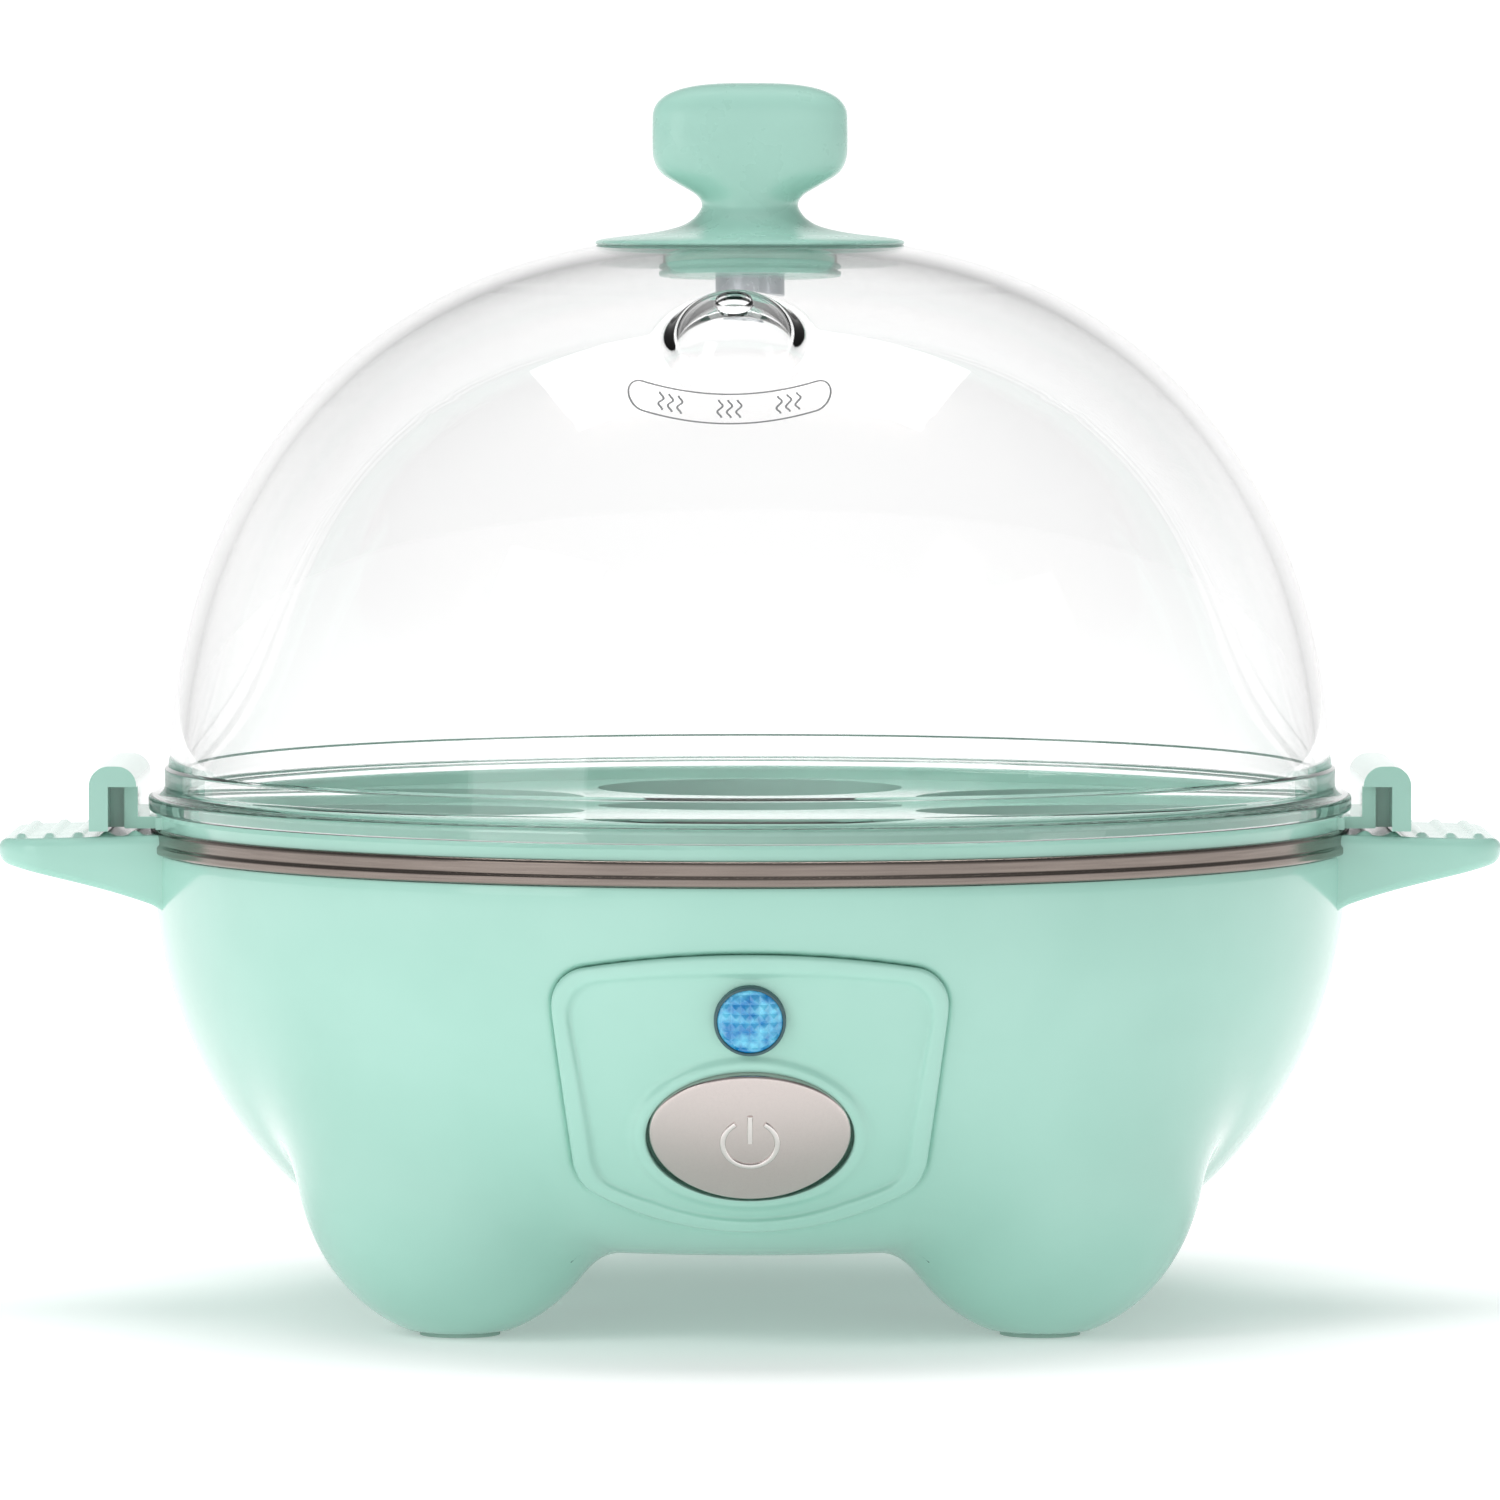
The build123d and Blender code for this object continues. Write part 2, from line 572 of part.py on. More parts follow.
def power_button():
    """Domed elliptical push button with a raised generic power symbol and a keeping flange."""
    plane = panel_plane(BUTTON_Z)
    centre = Pos(0, 0, BUTTON_PROUD - BUTTON_DOME_R)
    cap = extrude(button_shape(), 2 * BUTTON_DEPTH)
    cap = Pos(0, 0, -BUTTON_DEPTH) * cap & centre * Sphere(BUTTON_DOME_R)
    arc = Circle(SYMBOL_R) - Circle(SYMBOL_R - SYMBOL_W)
    arc -= Pos(0, SYMBOL_R) * Rectangle(4 * SYMBOL_W, SYMBOL_R * 2)
    arc += Pos(0, SYMBOL_R * 0.75) * Rectangle(SYMBOL_W, SYMBOL_R * 1.2)
    cap += extrude(arc, 2 * BUTTON_DEPTH) & centre * Sphere(BUTTON_DOME_R + SYMBOL_H)
    flange = Pos(0, 0, FLANGE_BACK) * extrude(button_shape(BUTTON_FLANGE), FLANGE_T)
    return plane * (cap + flange)


def switch_plunger():
    """Round stem from the button's flange into the switch."""
    plane = panel_plane(BUTTON_Z)
    length = SWITCH_FRONT - SWITCH_L / 2 + BUTTON_TRAVEL
    return facing(plane, Circle(STEM_R), length, FLANGE_BACK)


def button_spring():
    """Coil spring round the stem, between the bracket and the button's flange."""
    plane = panel_plane(BUTTON_Z)
    free = FLANGE_BACK - BRACKET_FRONT
    height = free - SPRING_WIRE
    coil = Helix(height / SPRING_TURNS, height, SPRING_R)
    wire = sweep(Plane(coil @ 0, z_dir=coil % 0) * Circle(SPRING_WIRE / 2), coil, is_frenet=True)
    return plane * (Pos(0, 0, BRACKET_FRONT + SPRING_WIRE / 2) * wire)


def switch_bracket():
    """Plate across the two pillars that carries the switch."""
    plane = panel_plane(BUTTON_Z)
    plate = RectangleRounded(2 * PILLAR_X + PILLAR_D, BRACKET_H, BRACKET_H * 0.2)
    plate -= Circle(STEM_R + STEM_GAP)
    for place in pillar_places():
        plate -= place * Circle(PANEL_SCREW_R + 0.15)
    return facing(plane, plate, SWITCH_FRONT, BRACKET_FRONT)


def switch_body():
    """Box of the push switch, bored for the stem, with two blade terminals."""
    plane = panel_plane(BUTTON_Z)
    body = facing(plane, Rectangle(SWITCH_W, SWITCH_H), SWITCH_FRONT - SWITCH_L, SWITCH_FRONT)
    body -= facing(plane, Circle(STEM_R + STEM_GAP), SWITCH_FRONT - SWITCH_L + 1, SWITCH_FRONT + 1)
    for side in (-1, 1):
        blade = Pos(side * SWITCH_W * 0.3, 0) * Rectangle(0.8, 4)
        body += facing(plane, blade, SWITCH_FRONT - SWITCH_L - 4, SWITCH_FRONT - SWITCH_L + 0.5)
    return body


def panel_screws():
    """Two screws that hold the switch's bracket to the pillars."""
    plane = panel_plane(BUTTON_Z)
    screws = []
    for place in pillar_places():
        head = facing(plane, place * Circle(PANEL_HEAD_R), SWITCH_FRONT - PANEL_HEAD_H, SWITCH_FRONT)
        shank = facing(plane, place * Circle(PANEL_SCREW_R), SWITCH_FRONT, SWITCH_FRONT + PANEL_SCREW_L)
        screws.append(head + shank)
    return Compound(children=screws)


def indicator_lens():
    """Clear blue lens with a low dome in front and a flange behind the panel."""
    plane = panel_plane(LENS_Z)
    radius = (LENS_R**2 + LENS_DOME**2) / (2 * LENS_DOME)
    body = extrude(Circle(LENS_R), LENS_DOME) & Pos(0, 0, LENS_DOME - radius) * Sphere(radius)
    body += Pos(0, 0, -LENS_DEPTH) * extrude(Circle(LENS_R), LENS_DEPTH)
    body += Pos(0, 0, -LENS_DEPTH) * extrude(Circle(LENS_R + LENS_FLANGE), LENS_FLANGE_T)
    body -= Pos(0, 0, -LENS_DEPTH) * extrude(Circle(LAMP_R + 0.3), LENS_DEPTH * 0.6)
    return plane * body


def indicator_lamp():
    """Small lamp behind the lens."""
    plane = panel_plane(LENS_Z)
    return facing(plane, Circle(LAMP_R), -LENS_DEPTH - 1, -LENS_DEPTH * 0.5)


def indicator_board():
    """Small circuit board that carries the lamp and its resistor."""
    plane = panel_plane(LENS_Z)
    back = -LENS_DEPTH - 1
    middle = Pos(0, BOARD_H / 2 - LAMP_R)
    body = facing(plane, middle * Rectangle(BOARD_W, BOARD_H), back - BOARD_T, back)
    resistor = middle * Pos(BOARD_W * 0.36, 0) * Rectangle(3.2, 1.6)
    return body + facing(plane, resistor, back - BOARD_T - 0.6, back - BOARD_T)


# ---------------------------------------------------------------- mains side
def gland_plane():
    """Plane that touches the back of the housing where the gland is, facing out."""
    z = BELLY_Z + GLAND_RISE
    tilt = asin((WIDEST_Z - z) / SIDE_ARC_R)
    return Plane((0, side_radius(z), z), x_dir=(-1, 0, 0), z_dir=(0, cos(tilt), -sin(tilt)))


def gland_hole():
    """Hole for the gland through the back of the housing."""
    return facing(gland_plane(), Circle(GLAND_R + GLAND_GAP), -GLAND_BACK, GLAND_BACK)


def cord_gland():
    """Bushing that the mains cord comes in through, with a flat flange and a short nose outside."""
    plane = gland_plane()
    body = facing(plane, Circle(GLAND_R + GLAND_FLANGE), 0, GLAND_FLANGE_T)
    body += facing(plane, Circle(GLAND_R), -GLAND_BACK, GLAND_NOSE)
    return body - facing(plane, Circle(GLAND_BORE_R), -2 * GLAND_BACK, 2 * GLAND_NOSE)


def gland_nut():
    """Nut on the gland's inner end, clear of the curved wall."""
    reach = GLAND_R + NUT_FLANGE
    seat = -WALL - reach**2 / SIDE_ARC_R
    return facing(gland_plane(), RegularPolygon(reach, 6) - Circle(GLAND_R), seat - NUT_T, seat)


def block_place():
    """Place of the terminal block, on the bottom cover behind the posts' ring."""
    return Pos(0, 0, BELLY_Z + COVER_T + BLOCK_H / 2)


def terminal_block():
    """Mains terminal block with three wire holes along it."""
    body = Box(BLOCK_L, BLOCK_W, BLOCK_H)
    for i in (-1, 0, 1):
        body -= Pos(i * BLOCK_L * 0.3, 0, 1) * Rot(90, 0, 0) * Cylinder(LEAD_D / 2 + 0.2, 2 * BLOCK_W)
        body -= Pos(i * BLOCK_L * 0.3, 0, BLOCK_H / 2) * Cylinder(1.3, 3)
    return block_place() * body


def lead(*points, radius=5.0):
    """Insulated wire along straight runs with rounded corners."""
    path = FilletPolyline(*points, radius=radius)
    section = Plane(points[0], z_dir=path % 0) * Circle(LEAD_D / 2)
    return sweep(section, path)


def leads():
    """Wires from the terminal block to the element and to the switch."""
    block = block_place().position
    wire_z = block.Z + 1
    row = BLOCK_L * 0.3
    start, end = element_turns()
    pins = []
    for turn, way in ((start, -1), (end, 1)):
        t = radians(turn)
        reach = way * TERMINAL_L * 0.75
        x = ELEMENT_RING_R * cos(t) - reach * sin(t)
        y = ELEMENT_RING_R * sin(t) + reach * cos(t)
        pins.append((x, y))
    out_y = BLOCK_W / 2
    wires = []
    for (x, y), side in zip(pins, (-1, 1)):
        wires.append(lead((side * row, out_y, wire_z), (side * row, out_y + 8, wire_z),
                          (x, y, wire_z + 8), (x, y, ELEMENT_Z - TERMINAL_D / 2), radius=3.0))
    blade = panel_plane(BUTTON_Z) * Pos(SWITCH_W * 0.3, 0, SWITCH_FRONT - SWITCH_L - 4)
    bx, by, bz = blade.position
    wires.append(lead((row, -out_y, wire_z), (row, -out_y - 9, wire_z), (bx, by + 6, bz - 4),
                      (bx, by + LEAD_D / 2, bz), radius=3.0))
    return wires


# ---------------------------------------------------------------- egg tray
def egg_seat():
    """Collar and fingers of one seat, to be added to the deck, centred on the axis."""
    collar = ring(SEAT_R + SEAT_COLLAR_T, SEAT_R, DECK_LOW - SEAT_COLLAR_H, DECK_LOW + TRAY_DECK_T / 2)
    tip = SEAT_R - FINGER_REACH
    reach = FINGER_REACH + SEAT_COLLAR_T / 2
    high = DECK_LOW - TRAY_DECK_T / 2
    outline = [(tip, high - FINGER_T - 1), (tip, high - 1), (tip + reach, high), (tip + reach, high - FINGER_T - 1)]
    finger = make_face(Polyline(*[(x, 0, z) for x, z in outline], close=True))
    fingers = turned(extrude(finger, FINGER_W / 2, both=True), FINGER_COUNT, 45)
    return collar + fingers


def tray_grip():
    """Bent grip on the +X side: root in the rim, bar over the top, outer leg and middle web."""
    root_top = TRAY_TOP - GRIP_OVER_WING
    leg_low = WING_TOP + GRIP_OVER_WING
    root = [(TRAY_R - 4, BAND_TOP), (TRAY_R - 4, root_top), (GRIP_IN, root_top), (GRIP_IN, GRIP_TOP),
            (GRIP_OUT, GRIP_TOP), (GRIP_OUT, leg_low), (GRIP_OUT - GRIP_LEG_T, leg_low),
            (GRIP_OUT - GRIP_LEG_T, GRIP_TOP - GRIP_BAR_T), (GRIP_IN + GRIP_ROOT_T, GRIP_TOP - GRIP_BAR_T),
            (GRIP_IN + GRIP_ROOT_T, BAND_TOP)]
    face = make_face(Polyline(*[(x, 0, z) for x, z in root], close=True))
    tops = face.vertices().sort_by(Axis.Z)[-2:]
    hook = extrude(fillet(tops, GRIP_CORNER), GRIP_W / 2, both=True)
    side = 2 * GRIP_W
    for way in (-1, 1):
        notch = Box(2 * (GRIP_ROOT_T + GRIP_GAP), side, GRIP_TOP - GRIP_BAR_T - BAND_TOP + 2)
        hook -= Pos(GRIP_IN, way * (GRIP_ROOT_W + side) / 2, (GRIP_TOP - GRIP_BAR_T + BAND_TOP - 2) / 2) * notch
    web_h = GRIP_TOP - GRIP_BAR_T - BAND_TOP + 0.5
    web = Box(GRIP_DEPTH - GRIP_LEG_T, GRIP_WEB_T, web_h)
    return hook + Pos((GRIP_IN + GRIP_OUT) / 2 - 0.5, 0, BAND_TOP + web_h / 2) * web


def egg_tray():
    """Lift-out tray: rim, deck with a ring of egg seats, locating lip, skirt and two grips."""
    rim_in = SKIRT_R - TRAY_SKIRT_T
    lip_in = TRAY_LIP_R - TRAY_LIP_T
    lip_top = TRAY_TOP + TRAY_LIP_H
    outline = [(TRAY_R, BAND_TOP), (TRAY_R, TRAY_TOP), (TRAY_LIP_R, TRAY_TOP), (TRAY_LIP_R, lip_top),
               (lip_in, lip_top), (lip_in, DECK_TOP), (0, DECK_TOP), (0, DECK_LOW), (rim_in, DECK_LOW),
               (rim_in, BAND_TOP - TRAY_SKIRT_H), (SKIRT_R, BAND_TOP - TRAY_SKIRT_H), (SKIRT_R, BAND_TOP)]
    body = spun(outline, [(1, 0.6), (3, 0.5), (4, 0.5)])
    seat = Pos(0, -SEAT_RING_R, 0)
    keep = disc(SKIRT_R, DECK_LOW - 2 * SEAT_COLLAR_H, DECK_TOP)
    for place in turned(seat, SEAT_COUNT):
        body -= place * disc(SEAT_R, DECK_LOW - 2 * SEAT_COLLAR_H, DECK_TOP + 1)
    for place in turned(seat, SEAT_COUNT):
        body += (place * egg_seat()) & keep
    body += turned(tray_grip(), 2)
    clear = disc(BEAD_OUT + 0.2, WING_TOP - 1, BAND_TOP)
    return body - (clear - disc(SKIRT_R + 0.01, WING_TOP - 2, BAND_TOP + 1))


# ---------------------------------------------------------------- lid
def dome_shell_face():
    """Half section of the dome and its flange."""
    outer, inner = [], []
    reach = DOME_R * 0.995
    for i in range(DOME_POINTS + 1):
        share = sin(pi / 2 * i / DOME_POINTS)
        outer.append((reach * share, 0, dome_height(reach * share)))
        inner.append(((reach - DOME_T) * share, 0, dome_height((reach - DOME_T) * share, DOME_T)))
    foot_out, foot_in = outer[-1], inner[-1]
    flange_top = TRAY_TOP + LID_FLANGE_T
    edges = [Spline(*outer, tangents=[(1, 0, 0), (0, 0, -1)]), Spline(*inner, tangents=[(1, 0, 0), (0, 0, -1)])]
    edges.append(Line(outer[0], inner[0]))
    edges.append(Polyline(foot_out, (foot_out[0], 0, flange_top), (FLANGE_R, 0, flange_top),
                          (FLANGE_R, 0, TRAY_TOP), (foot_in[0], 0, TRAY_TOP), foot_in))
    face = make_face([edge for line in edges for edge in line.edges()])
    step = face.vertices().sort_by_distance((foot_out[0], 0, flange_top))[:1]
    face = fillet(step, LID_FILLET)
    rim = face.vertices().sort_by_distance((FLANGE_R, 0, flange_top))[:1]
    return fillet(rim, LID_FILLET)


def vent_place():
    """Centre of the steam vent's bubble."""
    z = dome_height(VENT_REACH)
    slope_r = (VENT_REACH / DOME_R)**(DOME_POWER - 1) / DOME_R
    slope_z = ((z - DOME_Z) / DOME_RISE)**(DOME_POWER - 1) / DOME_RISE
    length = sqrt(slope_r**2 + slope_z**2)
    reach = VENT_REACH - VENT_SINK * slope_r / length
    return Rot(0, 0, -LID_TURN) * Pos(0, -reach, z - VENT_SINK * slope_z / length)


def lid_dome():
    """Clear dome with its flange, the hollow vent bubble and the hole for the knob's screw."""
    body = revolve(dome_shell_face(), Axis.Z)
    bubble = vent_place()
    outside = bubble * Sphere(VENT_R)
    body += outside - curved_cap(DOME_T / 2)
    body -= bubble * Sphere(VENT_R - VENT_WALL)
    hole = Pos(0, VENT_HOLE_BACK, VENT_R) * Cylinder(VENT_HOLE_R, VENT_R)
    body -= bubble * hole
    return body - disc(KNOB_SCREW_R + HOLE_GAP, DOME_IN_TOP - 2, DOME_TOP + 2)


def curved_cap(inset):
    """Solid under the dome's surface, moved inwards by inset, used to trim what meets the dome."""
    points = []
    reach = (DOME_R - inset) * 0.97
    for i in range(DOME_POINTS + 1):
        r = reach * sin(pi / 2 * i / DOME_POINTS)
        points.append((r, 0, dome_height(r, inset)))
    top = Spline(*points)
    low = dome_height(reach, inset) - 1
    rest = Polyline(points[-1], (reach, 0, low), (0, 0, low), points[0])
    return revolve(make_face(top.edges() + rest.edges()), Axis.Z)


def lid_knob():
    """Flat paddle knob on a flared skirt that lies on the dome."""
    neck_z, top = DOME_TOP + KNOB_NECK_UP, DOME_TOP + KNOB_TOP
    half, neck = KNOB_HEAD_W / 2, KNOB_NECK_R
    side_top = top - KNOB_CROWN
    side_low = side_top - KNOB_SIDE
    low = DOME_TOP - 3
    left = [(-neck, low), (-neck, neck_z), (-half, side_low), (-half, side_top)]
    a = [(x, 0, z) for x, z in left]
    b = [(-x, 0, z) for x, z in reversed(left)]
    edges = Polyline(*a).edges() + ThreePointArc(a[-1], (0, 0, top), b[0]).edges()
    edges += Polyline(*b).edges() + Line(b[-1], a[0]).edges()
    face = make_face(edges)
    bends = [v for v in face.vertices() if low + 1 < v.Z]
    face = fillet(bends, KNOB_CORNER)
    front = extrude(face, KNOB_HEAD_T, both=True)
    edge = KNOB_HEAD_T / 2
    side = make_face(Polyline((0, -edge, low), (0, -edge, top), (0, edge, top), (0, edge, low), close=True))
    side = fillet(side.vertices().sort_by(Axis.Z)[-2:], KNOB_CORNER)
    head = front & extrude(side, KNOB_HEAD_W, both=True)
    r_flare = neck + (KNOB_SKIRT_R - neck) * 0.35
    lip = dome_height(KNOB_SKIRT_R)
    skirt = spun([(0, low), (KNOB_SKIRT_R, low), (KNOB_SKIRT_R, lip + KNOB_SKIRT_T * 0.6),
                  (r_flare, DOME_TOP + KNOB_SKIRT_T), (neck * 0.9, neck_z), (0, neck_z)],
                 [(3, KNOB_CORNER * 1.5)])
    body = (head + skirt) - curved_cap(-DOME_GAP)
    return body - disc(KNOB_BORE_R, low, HEAD_TOP + KNOB_SCREW_L + 1)


COLLAR_TOP = dome_height(COLLAR_R - SEAL_INSET, DOME_T) - SEAL_T
HEAD_TOP = COLLAR_TOP - COLLAR_T


def knob_seal():
    """Silicone washer between the dome's inside and the collar."""
    body = disc(COLLAR_R - SEAL_INSET, COLLAR_TOP, DOME_TOP) & curved_cap(DOME_T + DOME_GAP)
    return body - disc(KNOB_SCREW_R + HOLE_GAP, COLLAR_TOP - 1, DOME_TOP)


def knob_collar():
    """Grooved collar under the dome that spreads the knob screw's pull."""
    body = disc(COLLAR_R, HEAD_TOP, COLLAR_TOP)
    middle = (HEAD_TOP + COLLAR_TOP) / 2
    body -= ring(COLLAR_R + 1, COLLAR_R - COLLAR_GROOVE, middle - COLLAR_GROOVE / 2, middle + COLLAR_GROOVE / 2)
    return body - disc(KNOB_SCREW_R + HOLE_GAP, HEAD_TOP - 1, COLLAR_TOP + 1)


def knob_screw():
    """Pan-head screw from under the collar into the knob."""
    low = HEAD_TOP - KNOB_SCREW_HEAD_H
    body = disc(KNOB_SCREW_HEAD_R, low, HEAD_TOP) + disc(KNOB_SCREW_R, HEAD_TOP, HEAD_TOP + KNOB_SCREW_L)
    slot = Box(KNOB_SCREW_HEAD_R * 1.2, 0.9, 2) + Box(0.9, KNOB_SCREW_HEAD_R * 1.2, 2)
    return body - Pos(0, 0, low) * slot


def numbered(name, shapes):
    """Name each shape of a list name_1, name_2 and so on."""
    return {f"{name}_{i + 1}": shape for i, shape in enumerate(shapes)}


def build():
    """Every loose piece of the cooker by its node name."""
    pieces = {
        "base_housing": base_housing(), "bottom_cover": bottom_cover(), "cover_screws": cover_screws(),
        "heating_plate": heating_plate(), "rim_gasket": rim_gasket(), "heat_spreader": heat_spreader(),
        "heating_element": heating_element(), "thermostat": thermostat(),
        "thermostat_clip": thermostat_clip(), "thermal_fuse": thermal_fuse(), "fuse_clip": fuse_clip(),
        "panel_bezel": panel_bezel(), "power_button": power_button(), "switch_plunger": switch_plunger(),
        "button_spring": button_spring(), "switch_bracket": switch_bracket(),
        "switch_body": switch_body(), "panel_screws": panel_screws(),
        "indicator_lens": indicator_lens(), "indicator_lamp": indicator_lamp(),
        "indicator_board": indicator_board(), "cord_gland": cord_gland(), "gland_nut": gland_nut(),
        "terminal_block": terminal_block(), "egg_tray": egg_tray(), "lid_dome": lid_dome(),
        "lid_knob": lid_knob(), "knob_seal": knob_seal(), "knob_collar": knob_collar(),
        "knob_screw": knob_screw(),
    }
    pieces.update(numbered("foot_pad", foot_pads()))
    pieces.update(numbered("plate_post", plate_posts()))
    pieces.update(numbered("element_terminal", element_terminals()))
    pieces.update(numbered("lead", leads()))
    return pieces


os.makedirs("parts", exist_ok=True)
for node, shape in build().items():
    export_step(shape, f"parts/{node}.step")
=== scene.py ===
"""Egg cooker: a moulded bowl on four round feet, a steel plate, an egg tray, a clear domed lid and a paddle knob."""
import logging
from collections.abc import Callable
from dataclasses import dataclass
from enum import Enum
from math import asin, cos, radians, sin, tan

import bmesh
import bpy
import numpy as np
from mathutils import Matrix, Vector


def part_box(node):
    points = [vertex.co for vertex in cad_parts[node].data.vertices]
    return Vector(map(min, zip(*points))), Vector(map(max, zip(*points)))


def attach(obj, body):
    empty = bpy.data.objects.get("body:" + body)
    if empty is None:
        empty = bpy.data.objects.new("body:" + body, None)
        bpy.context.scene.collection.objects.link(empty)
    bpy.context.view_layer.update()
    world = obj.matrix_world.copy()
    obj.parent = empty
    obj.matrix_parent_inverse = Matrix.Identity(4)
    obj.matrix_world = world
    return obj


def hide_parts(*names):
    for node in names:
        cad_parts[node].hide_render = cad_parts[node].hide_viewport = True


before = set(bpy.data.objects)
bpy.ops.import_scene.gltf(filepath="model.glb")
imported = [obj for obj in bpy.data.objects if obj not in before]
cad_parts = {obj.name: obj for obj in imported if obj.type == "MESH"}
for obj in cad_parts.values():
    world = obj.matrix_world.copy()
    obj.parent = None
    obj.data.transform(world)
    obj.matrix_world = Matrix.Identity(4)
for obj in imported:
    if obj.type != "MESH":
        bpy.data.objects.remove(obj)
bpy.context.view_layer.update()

MM = 0.001
TAU = 2 * np.pi
LOG = logging.getLogger("egg_cooker")

Socket = float | int | str | tuple | bpy.types.NodeSocket


# ---------------------------------------------------------------- small tools
def linear(code: str) -> tuple[float, float, float, float]:
    """Turns an sRGB hex colour into linear RGBA.

    Args:
        code: the colour, as #RRGGBB.

    Returns:
        Red, green and blue as the 2.4 power curve gives them, and an alpha of 1.
    """
    level = np.array([int(code[i:i + 2], 16) for i in (1, 3, 5)]) / 255
    curve = np.where(level <= 0.04045, level / 12.92, ((level + 0.055) / 1.055) ** 2.4)
    return (*curve.tolist(), 1.0)


def add_node(tree: bpy.types.NodeTree, kind: str, settings: dict | None = None,
             sockets: dict[str | int, Socket] | None = None) -> bpy.types.Node:
    """Adds one node with its settings and links.

    Args:
        tree: the node tree.
        kind: the node's type.
        settings: the node's own properties.
        sockets: each input by name or number, with a value or the socket that feeds it.

    Returns:
        The node.
    """
    node = tree.nodes.new(kind)
    for key, value in (settings or {}).items():
        setattr(node, key, value)
    for key, value in (sockets or {}).items():
        if isinstance(value, bpy.types.NodeSocket):
            tree.links.new(value, node.inputs[key])
        else:
            node.inputs[key].default_value = value
    return node


def low_corner(node: str) -> np.ndarray:
    """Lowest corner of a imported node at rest, in millimetres."""
    return np.array(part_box(node)[0]) / MM


def high_corner(node: str) -> np.ndarray:
    """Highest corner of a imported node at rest, in millimetres."""
    return np.array(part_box(node)[1]) / MM


# ---------------------------------------------------------------- surfaces on a grid
@dataclass
class Grid:
    """A grid of points (u, v, 3) in millimetres, and whether each way runs round into itself."""

    points: np.ndarray
    wrap_u: bool = True
    wrap_v: bool = True


def piece(name: str, grids: list[Grid], body: str, material: bpy.types.Material,
          stands_for: tuple[str, ...] = (), crease: float = 50.0) -> bpy.types.Object:
    """Makes one mesh of some grids and puts it on its body.

    Each grid gives a quad between every two neighbours on both ways. Points that coincide, at a pole or a
    seam, are merged, and the faces are turned outwards.

    Args:
        name: the piece's name.
        grids: the surfaces, in millimetres.
        body: the body that it rides on.
        material: its finish.
        stands_for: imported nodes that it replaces.
        crease: edges that turn by more than this many degrees stay sharp.

    Returns:
        The object, at the origin.
    """
    mesh = bpy.data.meshes.new(name)
    points, faces, first = [], [], 0
    for grid in grids:
        index = first + np.arange(grid.points.shape[0] * grid.points.shape[1]).reshape(grid.points.shape[:2])
        ahead, beside = np.roll(index, -1, 0), np.roll(index, -1, 1)
        quads = np.stack([index, ahead, np.roll(ahead, -1, 1), beside], -1)
        quads = quads if grid.wrap_u else quads[:-1]
        quads = quads if grid.wrap_v else quads[:, :-1]
        points.append(grid.points.reshape(-1, 3))
        faces.append(quads.reshape(-1, 4))
        first += index.size
    mesh.from_pydata(np.concatenate(points) * MM, [], np.concatenate(faces))
    shape = bmesh.new()
    shape.from_mesh(mesh)
    bmesh.ops.remove_doubles(shape, verts=shape.verts, dist=2e-7)
    bmesh.ops.dissolve_degenerate(shape, edges=shape.edges, dist=1e-7)
    bmesh.ops.recalc_face_normals(shape, faces=shape.faces)
    shape.to_mesh(mesh)
    shape.free()
    mesh.polygons.foreach_set("use_smooth", np.ones(len(mesh.polygons), bool))
    mesh.set_sharp_from_angle(angle=radians(crease))
    mesh.materials.append(material)
    thing = bpy.data.objects.new(name, mesh)
    bpy.context.scene.collection.objects.link(thing)
    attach(thing, body)
    if stands_for:
        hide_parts(*stands_for)
    LOG.info("%s: %d faces on %s", name, len(mesh.polygons), body)
    return thing


def rounded(corners: list[tuple[float, float, float]], closed: bool = True, steps: int = 6,
            guard: float = 0.12, run: float = 3.0) -> np.ndarray:
    """A profile with rounded corners.

    A corner of turn t and radius r starts r * tan(t / 2) before it. Its arc is the start, plus r * sin(a) along
    the way in, plus r * (1 - cos(a)) across it, for a from 0 to t. A straight stretch gets a point close to each
    end, so that flat faces stay flat beside a round edge, and one for each run of length.

    Args:
        corners: (across, up, radius) of each corner.
        closed: whether the last corner joins the first.
        steps: points on each arc.
        guard: distance of the extra points from a stretch's ends.
        run: longest stretch without a point.

    Returns:
        The profile's points, (n, 2).
    """
    place = np.array([c[:2] for c in corners], float)
    count = len(corners)
    arcs = []
    for i, (_, _, radius) in enumerate(corners):
        if radius <= 0 or (not closed and i in (0, count - 1)):
            arcs.append(place[i][None])
            continue
        ahead = place[i] - place[i - 1]
        after = place[(i + 1) % count] - place[i]
        ahead, after = ahead / np.hypot(*ahead), after / np.hypot(*after)
        turn = np.arctan2(ahead[0] * after[1] - ahead[1] * after[0], ahead @ after)
        across = np.array([-ahead[1], ahead[0]]) * np.sign(turn)
        angle = np.linspace(0, abs(turn), steps + 1)[:, None]
        start = place[i] - ahead * radius * tan(abs(turn) / 2)
        arcs.append(start + radius * (np.sin(angle) * ahead + (1 - np.cos(angle)) * across))
    parts = []
    for i, arc in enumerate(arcs):
        parts.append(arc)
        if i == count - 1 and not closed:
            break
        start, end = arc[-1], arcs[(i + 1) % count][0]
        length = float(np.hypot(*(end - start)))
        if length > 3 * guard:
            along = np.linspace(guard, length - guard, 2 + int(length / run)) / length
            parts.append(start + along[:, None] * (end - start))
    return np.concatenate(parts)


